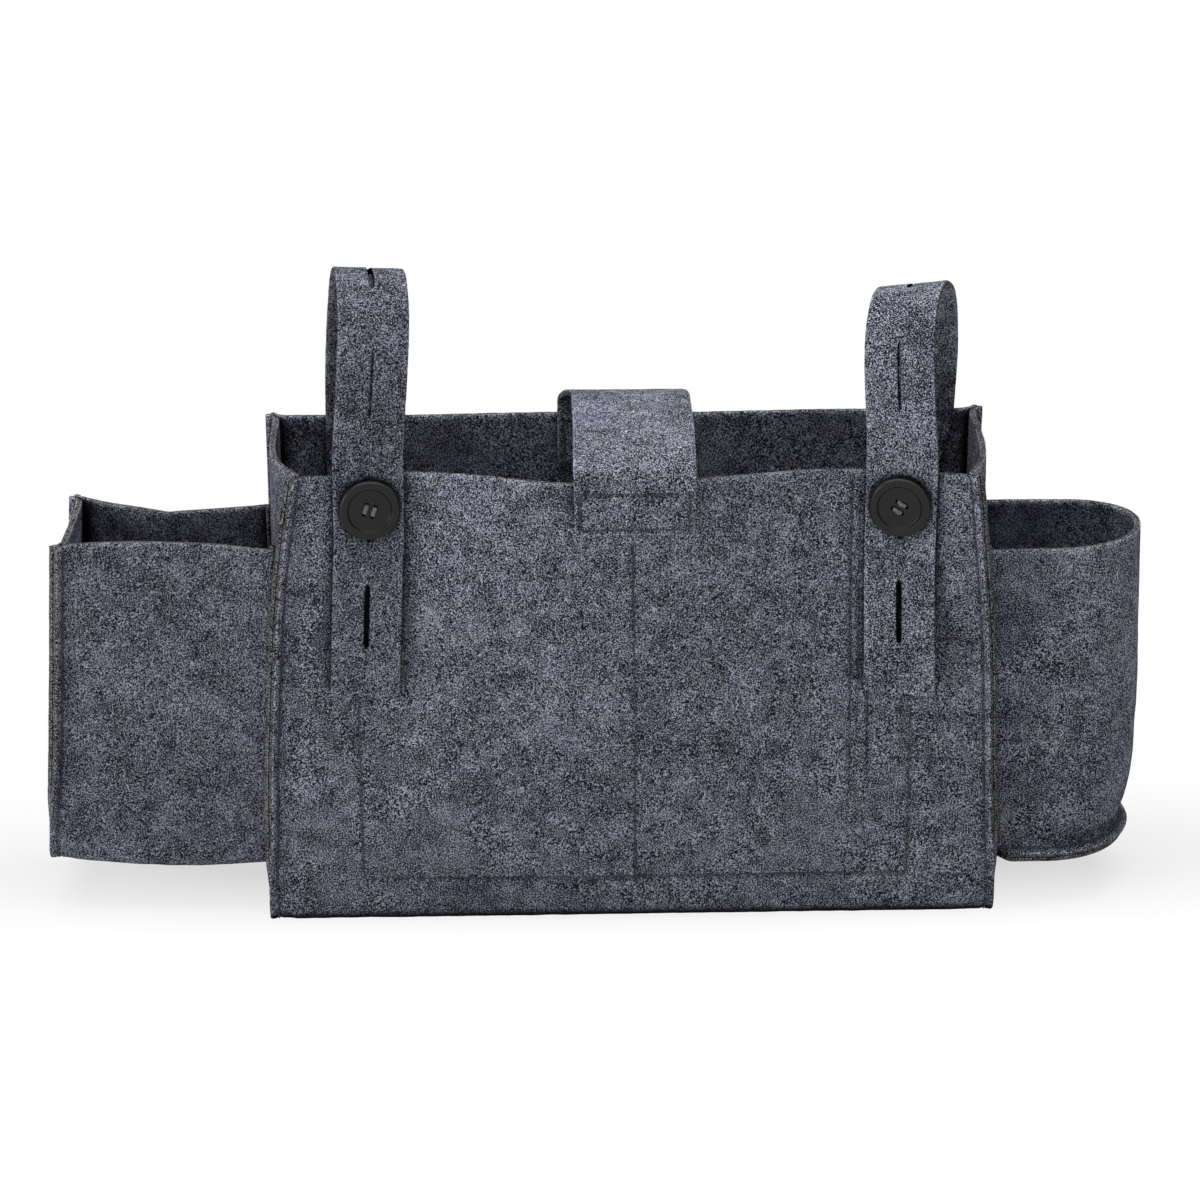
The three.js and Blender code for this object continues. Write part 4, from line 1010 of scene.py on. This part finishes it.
# Organizer panel
def build_organizer():
    left, right = ORGANIZER_LINES[0] - ORGANIZER_HEM, ORGANIZER_LINES[2] + ORGANIZER_HEM
    x = places(left, right, STRIP_STEP, lines=ORGANIZER_LINES)[None, :]
    z = places(ORGANIZER_BOTTOM - ORGANIZER_HEM, ORGANIZER_TOP, PANEL_STEP, lines=[ORGANIZER_BOTTOM])[:, None]
    seams = list(inner_lines.values())
    panel = felt_sheet("organizer_felt", [organizer_point(x, z)], FELT_LOOKS, seams=seams)
    dressed(panel, ["organizer_panel"])
    edges = ("left", "bottom", "right")
    stitches(
        "organizer_edge_stitches",
        [(front_lines[k], FORWARD) for k in edges] + [(inner_lines[k], -FORWARD) for k in edges],
        "organizer_edge_stitching",
    )
    stitches(
        "organizer_middle_stitches", [(front_lines["middle"], FORWARD), (inner_lines["middle"], -FORWARD)],
        "organizer_middle_stitching",
    )


# Straps. Arch places are shares of the arch's half span and of its rise.
ARCH = [
    (-1, 0), (-0.96, 0.34), (-0.86, 0.6), (-0.68, 0.86), (-0.36, 1), (0.28, 0.88), (0.7, 0.56),
    (0.93, 0.28), (0.99, 0),
]
LEFT_STRAP = {
    "side": "left", "tail_x": -132.0, "button_x": -126.2, "front_x": -119.2, "rear_x": -133.4,
    "root_x": -135.4, "root_lean": 0.0, "rise": 91.5, "tilt": -3.0, "lift": 7.0,
    "upper_pitch": 62.5, "upper_slits": (0.3, 1.0), "bar_turn": math.radians(-20),
}
RIGHT_STRAP = {
    "side": "right", "tail_x": 132.0, "button_x": 131.9, "front_x": 126.4, "rear_x": 157.0,
    "root_x": 151.2, "root_lean": 0.26, "rise": 80.5, "tilt": 5.2, "lift": 13.0,
    "upper_pitch": 64.5, "upper_slits": (0.5, 1.0), "bar_turn": math.radians(60),
}
NEAR_EDGE_LIFT_SHARE = 1 / 4
SPLAY_RISE_SHARE = 1 / 3
SLIT_SQUARENESS = 14


def curve_through(points, count=3000):
    """Points along a centripetal curve through the given ones, with the length up to each."""
    points = np.asarray(points, float)
    ends = [2 * points[0] - points[1], 2 * points[-1] - points[-2]]
    guide = np.vstack([ends[0], points, ends[1]])
    each = count // (len(points) - 1)
    t = np.linspace(0, 1, each, endpoint=False)[:, None]
    pieces = []
    for k in range(1, len(guide) - 2):
        p0, p1, p2, p3 = guide[k - 1 : k + 3]
        d0, d1, d2 = (math.sqrt(np.linalg.norm(b - a)) for a, b in ((p0, p1), (p1, p2), (p2, p3)))
        t1 = d1 * ((p1 - p0) / d0 - (p2 - p0) / (d0 + d1) + (p2 - p1) / d1)
        t2 = d1 * ((p2 - p1) / d1 - (p3 - p1) / (d1 + d2) + (p3 - p2) / d2)
        pieces.append(
            p1 + t1 * t + (3 * (p2 - p1) - 2 * t1 - t2) * t**2 + (2 * (p1 - p2) + t1 + t2) * t**3
        )
    line = np.vstack([*pieces, points[-1:]])
    return line, length_along(line)


def strap_path(strap):
    rim_y, tail_y = (outside_y(strap["button_x"], z) for z in (BODY_HEIGHT, STRAP_TAIL_END))
    arch = [
        (0, lerp(rim_y, INSIDE_BACK_Y, (span + 1) / 2), BODY_HEIGHT + strap["rise"] * rise)
        for span, rise in ARCH
    ]
    middle = (0, (tail_y + rim_y) / 2, (STRAP_TAIL_END + BODY_HEIGHT) / 2)
    return curve_through([(0, tail_y, STRAP_TAIL_END), middle, *arch, (0, INSIDE_BACK_Y, STRAP_ROOT_END)])


def strap_points(strap, path, distance, across):
    """Places on a strap's middle surface, from its tail's end and across from its middle."""
    line, length = path
    y = np.interp(distance, length, line[:, 1])
    z = np.interp(distance, length, line[:, 2])
    in_front = distance < length[np.argmax(line[:, 2])]
    rise = clamp((z - BODY_HEIGHT) / strap["rise"])
    climb = smooth(rise)
    tail = clamp((BUTTON_HEIGHT - SLIT_LENGTH / 2 - z) / (BUTTON_HEIGHT - STRAP_TAIL_END))
    front_leg = lerp(lerp(strap["button_x"], strap["tail_x"], tail), strap["front_x"], climb)
    root_x = strap["root_x"] + strap["root_lean"] * (np.minimum(z, BODY_HEIGHT) - BODY_HEIGHT)
    rear_leg = lerp(root_x, strap["rear_x"], climb)
    rim_y = outside_y(strap["button_x"], BODY_HEIGHT)
    span = INSIDE_BACK_Y - rim_y
    depth = np.where(in_front & (rise == 0), 0, clamp((y - rim_y) / span))
    splay = math.atan2(strap["rear_x"] - strap["front_x"], span) * smooth(rise / SPLAY_RISE_SHARE)
    across_x = lerp(front_leg, rear_leg, depth) + across * np.cos(splay)
    tilt = strap["tilt"] / STRAP_WIDTH * climb - strap["root_lean"] * depth * (1 - climb)
    free_y = y - across * np.sin(splay)
    lift = strap["lift"] * smooth(tail) * lerp(NEAR_EDGE_LIFT_SHARE, 1, across / STRAP_WIDTH + 0.5)
    lying = outside_y(across_x, np.minimum(z, BODY_HEIGHT)) - lift
    leaving = smooth((z - BODY_HEIGHT - FELT) / STRAP_WIDTH)
    return place(across_x, np.where(in_front, lerp(lying, free_y, leaving), free_y), z + tilt * across)


def root_box(middle_x, width, bottom, top, lean=0.0):
    """The stitched box that holds a strap's or the flap's root to the back."""
    half = width / 2 - STITCH_INSET
    low, high = bottom + STITCH_INSET, top - STITCH_INSET
    corners = [(-half, high), (half, high), (half, low), (-half, low), (-half, high)]
    pieces = []
    for a, b in zip(corners, corners[1:]):
        across, z = (np.linspace(a[k], b[k], 12) for k in (0, 1))
        x = middle_x + lean * (z - BODY_HEIGHT) + across
        pieces.append(place(x, INSIDE_BACK_Y, z - lean * across))
    inside = np.concatenate(pieces)
    return inside, inside + place(0, LAYER_PITCH, 0)


def build_strap(strap):
    side = strap["side"]
    path = strap_path(strap)
    line, length = path
    upper = strap["upper_pitch"]
    centres = FIRST_SLIT + np.array([0, SLIT_PITCH, SLIT_PITCH + upper, SLIT_PITCH + 2 * upper])
    ends = [c + way * SLIT_LENGTH / 2 for c in centres for way in (-1, 1)]
    distance = places(0, length[-1], STRIP_STEP, lines=ends, reach=3.0, fine=0.8)
    distance = np.unique(np.concatenate([distance, ends]))
    gaps = np.abs(distance[:, None] - centres[None, :]) / (SLIT_LENGTH / 2)
    nearest = gaps.min(1)
    widths = np.array([1, 1, *strap["upper_slits"]])[gaps.argmin(1)]
    parted = SLIT_WIDTH / 2 * widths * np.sqrt(np.clip(1 - nearest**SLIT_SQUARENESS, 0, 1))
    half = STRAP_WIDTH / 2
    share = places(0, 1, 0.14, lines=[0, 1], reach=0.12, fine=0.05)[None, :]
    grids, slits = [], []
    for way in (-1, 1):
        across = way * lerp(parted[:, None], half, share)
        grids.append(strap_points(strap, path, distance[:, None], across))
        slits.append(grids[-1][parted > 0, 0])
    inside, outside = root_box(
        strap["root_x"], STRAP_WIDTH, STRAP_ROOT_END, BODY_HEIGHT - BACK_DROP, strap["root_lean"]
    )
    # The left strap takes the darker copy of the felt: painted shade
    looks = SHADED_COPY_LOOKS if side == "left" else FELT_LOOKS
    felt = felt_sheet(f"{side}_strap_felt", grids, looks, seams=[inside], slits=slits)
    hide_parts(f"{side}_strap_tail", f"{side}_strap_loop", f"{side}_strap_root")
    top = strap_points(strap, path, np.array([length[np.argmax(line[:, 2])]]), 0.0)[0]
    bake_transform(felt)
    stitches(f"{side}_strap_stitches", [(inside, FORWARD), (outside, -FORWARD)], f"{side}_strap_stitching")


# Buttons, seen along +Z when they lie on the plane z = 0
BUTTON_RADIUS = BUTTON_DIAMETER / 2
RECESS_RADIUS = BUTTON_RADIUS - BUTTON_RIM
BUTTON_FLOOR = BUTTON_THICKNESS - BUTTON_RECESS
HEAD_DEPTH = FELT / 4
BUTTON_STANDOFF = FELT / 2 + HEAD_DEPTH + 2 * LAYER_GAP
HOLES = [(a * HOLE_PITCH / 2, b * HOLE_PITCH / 2) for a in (-1, 1) for b in (-1, 1)]


def lathe(profile, sides):
    """Points and faces of a profile of (radius, height) turned about Z; it starts and ends at radius 0."""
    angles = round_angles(sides)
    points = [(0, 0, profile[0][1])]
    for r, z in profile[1:-1]:
        points += [(r * math.cos(a), r * math.sin(a), z) for a in angles]
    points.append((0, 0, profile[-1][1]))
    faces = []
    last = len(points) - 1
    rings = len(profile) - 2
    for s in range(sides):
        n = (s + 1) % sides
        faces.append([0, 1 + n, 1 + s])
        for k in range(rings - 1):
            a, b = 1 + k * sides, 1 + (k + 1) * sides
            faces.append([a + s, a + n, b + n, b + s])
        faces.append([1 + (rings - 1) * sides + s, 1 + (rings - 1) * sides + n, last])
    return np.array(points, float), faces


def arc_profile(centre, radius, start, end, steps):
    angles = np.linspace(math.radians(start), math.radians(end), steps)
    return [(centre[0] + radius * math.cos(a), centre[1] + radius * math.sin(a)) for a in angles]


def button_profile():
    edge = 1.5
    lip = 0.9
    inner = 1.1
    return [
        (0, 0),
        (BUTTON_RADIUS * 0.72, 0),
        *arc_profile((BUTTON_RADIUS - edge, edge), edge, -60, 0, 7),
        *arc_profile((BUTTON_RADIUS - edge * 1.2, BUTTON_THICKNESS - edge * 1.2), edge * 1.2, 0, 90, 10),
        *arc_profile((RECESS_RADIUS + inner + lip, BUTTON_THICKNESS - lip), lip, 90, 170, 8),
        *arc_profile((RECESS_RADIUS, BUTTON_FLOOR + inner), inner, -10, -90, 8),
        (RECESS_RADIUS * 0.55, BUTTON_FLOOR - 0.12),
        (0, BUTTON_FLOOR - 0.2),
    ]


def tube(path, radius, sides=8):
    """A closed round strand along a path."""
    path = np.asarray(path, float)
    tangents = unit(np.gradient(path, axis=0))
    normal = unit(np.cross(tangents[0], [0.3, 0.2, 0.93]))
    points = []
    angles = round_angles(sides)
    for spot, tangent in zip(path, tangents):
        normal = unit(normal - tangent * (normal @ tangent))
        side = np.cross(tangent, normal)
        points += [spot + radius * (math.cos(a) * normal + math.sin(a) * side) for a in angles]
    walls, caps = strand_faces(len(path), sides)
    return np.array(points), walls + caps


def drilled_button():
    """The button's mesh, with four countersunk holes."""
    disc = to_object("button_disc", *lathe(button_profile(), 96), [button_look])
    for x, y in HOLES:
        flare = 0.35
        radius = HOLE_DIAMETER / 2
        depth = BUTTON_FLOOR - 0.15
        bore = [
            (0, -1), (radius + flare, -1), (radius + flare, 0.0), (radius, flare), (radius, depth - flare),
            (radius + flare, depth), (radius + flare + 0.6, BUTTON_THICKNESS), (0, BUTTON_THICKNESS),
        ]
        points, faces = lathe(bore, 32)
        cutter = to_object("button_bore", points + np.array([x, y, 0]), faces, [button_look])
        cut = disc.modifiers.new("bore", "BOOLEAN")
        cut.operation = "DIFFERENCE"
        cut.solver = "EXACT"
        cut.object = cutter
        bpy.context.view_layer.update()
        mesh = bpy.data.meshes.new_from_object(disc.evaluated_get(bpy.context.evaluated_depsgraph_get()))
        disc.modifiers.clear()
        disc.data = mesh
        bpy.data.objects.remove(cutter)
    mesh = disc.data
    bpy.data.objects.remove(disc)
    mesh.shade_smooth()
    mesh.set_sharp_from_angle(angle=math.radians(38))
    return mesh


def button_thread_parts():
    """Strands across each pair of holes, the wound shank under the button and the knot inside."""
    pieces = []
    strand = 0.36
    top = BUTTON_FLOOR + 0.55
    under = -LAYER_GAP - HEAD_DEPTH / 2
    arch = np.linspace(0, math.pi, 15)
    for a in (-1, 1):
        for lane in (-0.62, 0.0, 0.62):
            x = a * HOLE_PITCH / 2 + lane
            y = -np.cos(arch) * HOLE_PITCH / 2
            z = BUTTON_FLOOR - 0.1 + (top - BUTTON_FLOOR + 0.1 - abs(lane) * 0.2) * np.sin(arch) ** 0.6
            over = place(x + 0.08 * np.sin(3 * arch), y, z)
            down = place(x, -HOLE_PITCH / 2, np.linspace(under, BUTTON_FLOOR - 0.4, 5))
            up = down[::-1] * np.array([1, -1, 1])
            pieces.append(tube(np.vstack([down, over, up]), strand))
    shank_reach = BUTTON_STANDOFF + LAYER_PITCH * SLANT + FELT / 2 + LAYER_GAP
    wound = np.linspace(0, 2 * math.pi * 7, 150)
    radius = (HOLE_PITCH * math.sqrt(2) + THREAD_DIAMETER) / 2 - strand
    winding = place(
        radius * np.cos(wound), radius * np.sin(wound),
        -LAYER_GAP - strand - np.abs(np.sin(wound / 9)) * (HEAD_DEPTH - 2 * strand),
    )
    pieces.append(tube(winding, strand))
    fan = np.linspace(0, 1, 40)
    for turn in np.arange(3) * 2 * math.pi / 3:
        twist = turn + fan * 5
        reach = lerp(1.6, 0.45, smooth(fan * 4))
        z = lerp(-LAYER_GAP - HEAD_DEPTH / 2, -shank_reach - FELT / 4, fan)
        pieces.append(tube(place(reach * np.cos(twist), reach * np.sin(twist), z), 0.42))
    knot = np.linspace(0, 2 * math.pi * 9, 240)
    knot_radius = 2 * THREAD_DIAMETER - strand
    spread = knot_radius * (0.25 + 0.75 * np.abs(np.sin(knot / 11)))
    knot_line = place(
        spread * np.cos(knot), spread * np.sin(knot), -shank_reach - FELT / 4 + 0.3 * np.sin(knot * 1.7)
    )
    pieces.append(tube(knot_line, strand))
    return joined(pieces)


def button_seat(strap):
    """Where a button sits, with its face along +Z of the matrix."""
    def at(step_x, step_z):
        x, z = strap["button_x"] + step_x, BUTTON_HEIGHT + step_z
        return place(x, outside_y(x, z), z)

    across = unit(at(FELT, 0) - at(-FELT, 0))
    up = unit(at(0, FELT) - at(0, -FELT))
    face = unit(np.cross(across, up))
    level = np.cross(face, across)
    axes = np.stack([*turned(across, level, strap["bar_turn"]), face])
    return settled(at(0, 0)[None])[0] + face * BUTTON_STANDOFF, axes


def build_buttons():
    mesh = drilled_button()
    points = np.array([v.co for v in mesh.vertices]) / MM
    for strap in (LEFT_STRAP, RIGHT_STRAP):
        spot, axes = button_seat(strap)
        own = mesh.copy()
        own.vertices.foreach_set("co", ((spot + points @ axes) * MM).reshape(-1))
        dressed(linked(f"{strap['side']}_coat_button", own), [f"{strap['side']}_button"])
        strands, faces = button_thread_parts()
        thread = to_object(f"{strap['side']}_thread", spot + strands @ axes, faces, [grey_thread])
        dressed(thread, [f"{strap['side']}_button_thread"])


# Closure flap and its tapes
LOOP_LAYER = FELT / 2 + LAYER_GAP + TAPE / 2
HOOK_LAYER = LOOP_LAYER + TAPE + LAYER_GAP
FLAP_LAYER = HOOK_LAYER + TAPE / 2 + LAYER_GAP + FELT / 2
TAPE_BOTTOM = FLAP_END + TAPE_MARGIN
TAPE_TOP = TAPE_BOTTOM + TAPE_HEIGHT


def in_front_of(x, z, distance):
    return place(x, front_y(x, z) - distance * SLANT, z)


def on_flap(x, z, distance):
    """A place on a layer of the flap, which is flat across."""
    touch = in_front_of(FLAP_TOUCH_X, np.minimum(z, BODY_HEIGHT), distance)
    return place(x, touch[..., 1], z)


def flap_grid():
    seam = (TAPE_WIDTH - FELT) / 2 / FLAP_WIDTH
    across = places(-0.5, 0.5, 0.04, lines=[-seam, seam], reach=0.06, fine=0.014)[None, :]
    root_z = np.arange(FLAP_ROOT_END, HINGE_Z, STRIP_STEP)[:, None]
    root = place(FLAP_ROOT_X + across * FLAP_ROOT_WIDTH, INSIDE_BACK_Y, root_z)
    turn = np.linspace(0, math.pi, 54)[:, None]
    share = turn / math.pi
    width = lerp(FLAP_ROOT_WIDTH, FLAP_WIDTH, FLAP_TAPER_SHARE * share)
    x = lerp(FLAP_ROOT_X, FLAP_X, smooth(share / FLAP_SKEW_SHARE)) + across * width
    front = on_flap(FLAP_X, BODY_HEIGHT, FLAP_LAYER)[1]
    arch_y = lerp(INSIDE_BACK_Y, front, (1 - np.cos(turn)) / 2)
    arch = place(x, arch_y, HINGE_Z + FLAP_RISE * np.sin(turn))
    fall_share = np.linspace(0, 1, 30)[1:, None]
    width = lerp(FLAP_ROOT_WIDTH, FLAP_WIDTH, lerp(FLAP_TAPER_SHARE, 1, fall_share))
    fall = on_flap(FLAP_X + across * width, lerp(HINGE_Z, FLAP_END, fall_share), FLAP_LAYER)
    return np.concatenate([root, arch, fall])


def tape_field(kind, layer, middle, way, body):
    """Hook or loop tape: a woven strip with rows of small hooks or loops on its face."""
    half = TAPE_WIDTH / 2
    x = places(FLAP_X - half, FLAP_X + half, STRIP_STEP)[None, :]
    z = places(TAPE_BOTTOM, TAPE_TOP, STRIP_STEP)[:, None]
    backing = 0.8
    tape_back = middle + way * (TAPE - backing) / 2
    strip = felt_sheet(f"{kind}_tape_strip", [layer(x, z, tape_back)], [tape_look] * 3, thickness=backing)
    pieces = []
    bend = np.linspace(0, math.pi * (1.25 if kind == "hook" else 1.9), 9)
    height = TAPE - backing - 0.15
    pitch = 1.5
    for row, up in enumerate(np.arange(TAPE_BOTTOM + 1.2, TAPE_TOP - 0.8, pitch)):
        for right in np.arange(FLAP_X - half + 1.2 + (row % 2) * pitch / 2, FLAP_X + half - 0.8, pitch):
            foot = layer(right, up, tape_back - way * backing * 0.4)
            stand = np.sin(bend / 2 if kind == "loop" else bend.clip(0, QUARTER)) * height
            lean = (1 - np.cos(bend)) * 0.32
            droop = np.clip(bend - QUARTER, 0, None) * 0.16 if kind == "hook" else 0
            path = foot + place(0, way * (stand - droop), lean)
            pieces.append(tube(path, 0.11, 4))
    points, faces = joined(pieces)
    nap = to_object(f"{kind}_tape_nap", settled(points), faces, [tape_look])
    dressed(strip, [f"{kind}_tape"], body)
    dressed(nap, [f"{kind}_tape"], body)


def build_flap():
    inset = FELT / 2
    x = np.linspace(FLAP_X - TAPE_WIDTH / 2 + inset, FLAP_X + TAPE_WIDTH / 2 - inset, 40)
    z = np.linspace(TAPE_BOTTOM + inset, TAPE_TOP - inset, 20)
    box = [
        on_flap(x, z[0], FLAP_LAYER), on_flap(x, z[-1], FLAP_LAYER),
        on_flap(x[0], z, FLAP_LAYER), on_flap(x[-1], z, FLAP_LAYER),
    ]
    inside, outside = root_box(FLAP_ROOT_X, FLAP_ROOT_WIDTH, FLAP_ROOT_END, BODY_HEIGHT - BACK_DROP)
    grid = flap_grid()
    flap = felt_sheet("flap_felt", [grid], FELT_LOOKS, seams=[*box, inside])
    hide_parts("closure_flap", "closure_flap_root")
    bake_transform(flap)
    stitches("flap_root_stitches", [(inside, FORWARD), (outside, -FORWARD)], "closure_flap_stitching")
    stitches("flap_box_stitches", [(line, FORWARD) for line in box], "hook_tape_stitching", "flap", pitch=2.3)
    tape_field("loop", in_front_of, LOOP_LAYER, 1, "bag")
    tape_field("hook", on_flap, HOOK_LAYER, -1, "flap")


left_hem_inside = build_left_pocket()
right_hem_insides = build_right_pocket()
build_body()
for side, name, hems in ((-1, "left_gusset", [left_hem_inside]), (1, "right_gusset", right_hem_insides)):
    build_gusset(side, body_wrap, body_edge(side), GUSSET_CURL, f"{name}_felt", name, hems)
build_organizer()
for strap in (LEFT_STRAP, RIGHT_STRAP):
    build_strap(strap)
build_buttons()
build_flap()


# Camera, where the photograph's was
CAMERA_PLACE = Vector((-0.0291, -1.6802, 0.7671))
CAMERA_AIM = Vector((-0.014036, 0.0, 0.152182))
CAMERA_ROLL = math.radians(-0.582)
CAMERA_LENS = 106.08


def build_camera():
    data = bpy.data.cameras.new("photo_camera")
    data.lens = CAMERA_LENS
    data.sensor_width = 36.0
    data.clip_start = 0.05
    data.clip_end = 50.0
    camera = linked("photo_camera", data)
    look = (CAMERA_AIM - CAMERA_PLACE).normalized()
    right = look.cross(Vector((0, 0, 1))).normalized()
    up = right.cross(look)
    turn = Matrix((*turned(right, up, CAMERA_ROLL), -look)).transposed().to_4x4()
    camera.matrix_world = Matrix.Translation(CAMERA_PLACE) @ turn
    bpy.context.scene.camera = camera


# Studio, its lamps in metres: a wide soft box overhead, a wash on the floor in front, a low one at the
# left, and a pale floor that glows more the further it lies from the bag
GLOW_FACTORS = (1.6, 9.0, 0.0)
GLOW_SHIFT = (0.0, -0.27, 0.0)


def soft_box(name, spot, aim, size, power, spread=math.pi):
    light = bpy.data.lights.new(name, "AREA")
    light.spread = spread
    light.shape = "RECTANGLE"
    light.size, light.size_y = size
    light.energy = power
    obj = linked(name, light)
    obj.location = spot
    obj.rotation_euler = (Vector(aim) - Vector(spot)).to_track_quat("-Z", "Y").to_euler()
    obj.visible_camera = False


def seen_directly(tree):
    """1 for the camera, for mirrors and for glass, 0 for the light that the scene scatters."""
    rays = node(tree, "ShaderNodeLightPath")
    straight = sum_of(tree, "MAXIMUM", rays.outputs["Is Camera Ray"], rays.outputs["Is Glossy Ray"])
    return sum_of(tree, "MAXIMUM", straight, rays.outputs["Is Transmission Ray"])


def build_studio():
    soft_box("overhead", (0.0, 0.12, 1.8), (0, 0.12, 0), (2.4, 1.5), 38)
    soft_box("floor_wash", (0.25, -1.3, 1.6), (0.25, -1.3, 0), (2.8, 1.1), 12, math.radians(40))
    soft_box("key_left", (-1.5, -0.9, 0.5), (0, 0, 0.12), (0.6, 0.6), 7)
    world = bpy.data.worlds.new("studio")
    bpy.context.scene.world = world
    world.use_nodes = True
    tree = world.node_tree
    dim = filled(tree, tree.nodes["Background"], {"Color": (1, 1, 1, 1), "Strength": 0.02})
    white = node(tree, "ShaderNodeBackground", {"Color": (1, 1, 1, 1), "Strength": 1.0})
    both = node(tree, "ShaderNodeMixShader", {0: seen_directly(tree), 1: dim.outputs[0], 2: white.outputs[0]})
    tree.links.new(both.outputs[0], tree.nodes["World Output"].inputs["Surface"])
    material, tree, surface = shader("studio_floor")
    filled(tree, surface, {"Base Color": (0.9, 0.9, 0.9, 1), **MATTE})
    glow = node(tree, "ShaderNodeEmission", {"Color": (1, 1, 1, 1), "Strength": 1.0})
    spread = moved_spot(tree, object_spot(tree), GLOW_FACTORS, GLOW_SHIFT)
    far = node(tree, "ShaderNodeVectorMath", {0: spread}, operation="LENGTH").outputs["Value"]
    share = sum_of(tree, "MULTIPLY", seen_directly(tree), ranged(tree, far, 0.36, 0.95, 0.64, 1.0))
    both = node(tree, "ShaderNodeMixShader", {0: share, 1: surface.outputs[0], 2: glow.outputs[0]})
    tree.links.new(both.outputs[0], tree.nodes["Material Output"].inputs["Surface"])
    reach = 6000.0
    corners = [(-reach, -reach, 0), (reach, -reach, 0), (reach, reach, 0), (-reach, reach, 0)]
    to_object("studio_floor", np.array(corners, float), [[0, 1, 2, 3]], [material])
    bpy.context.scene.view_settings.view_transform = "Standard"


build_camera()
build_studio()
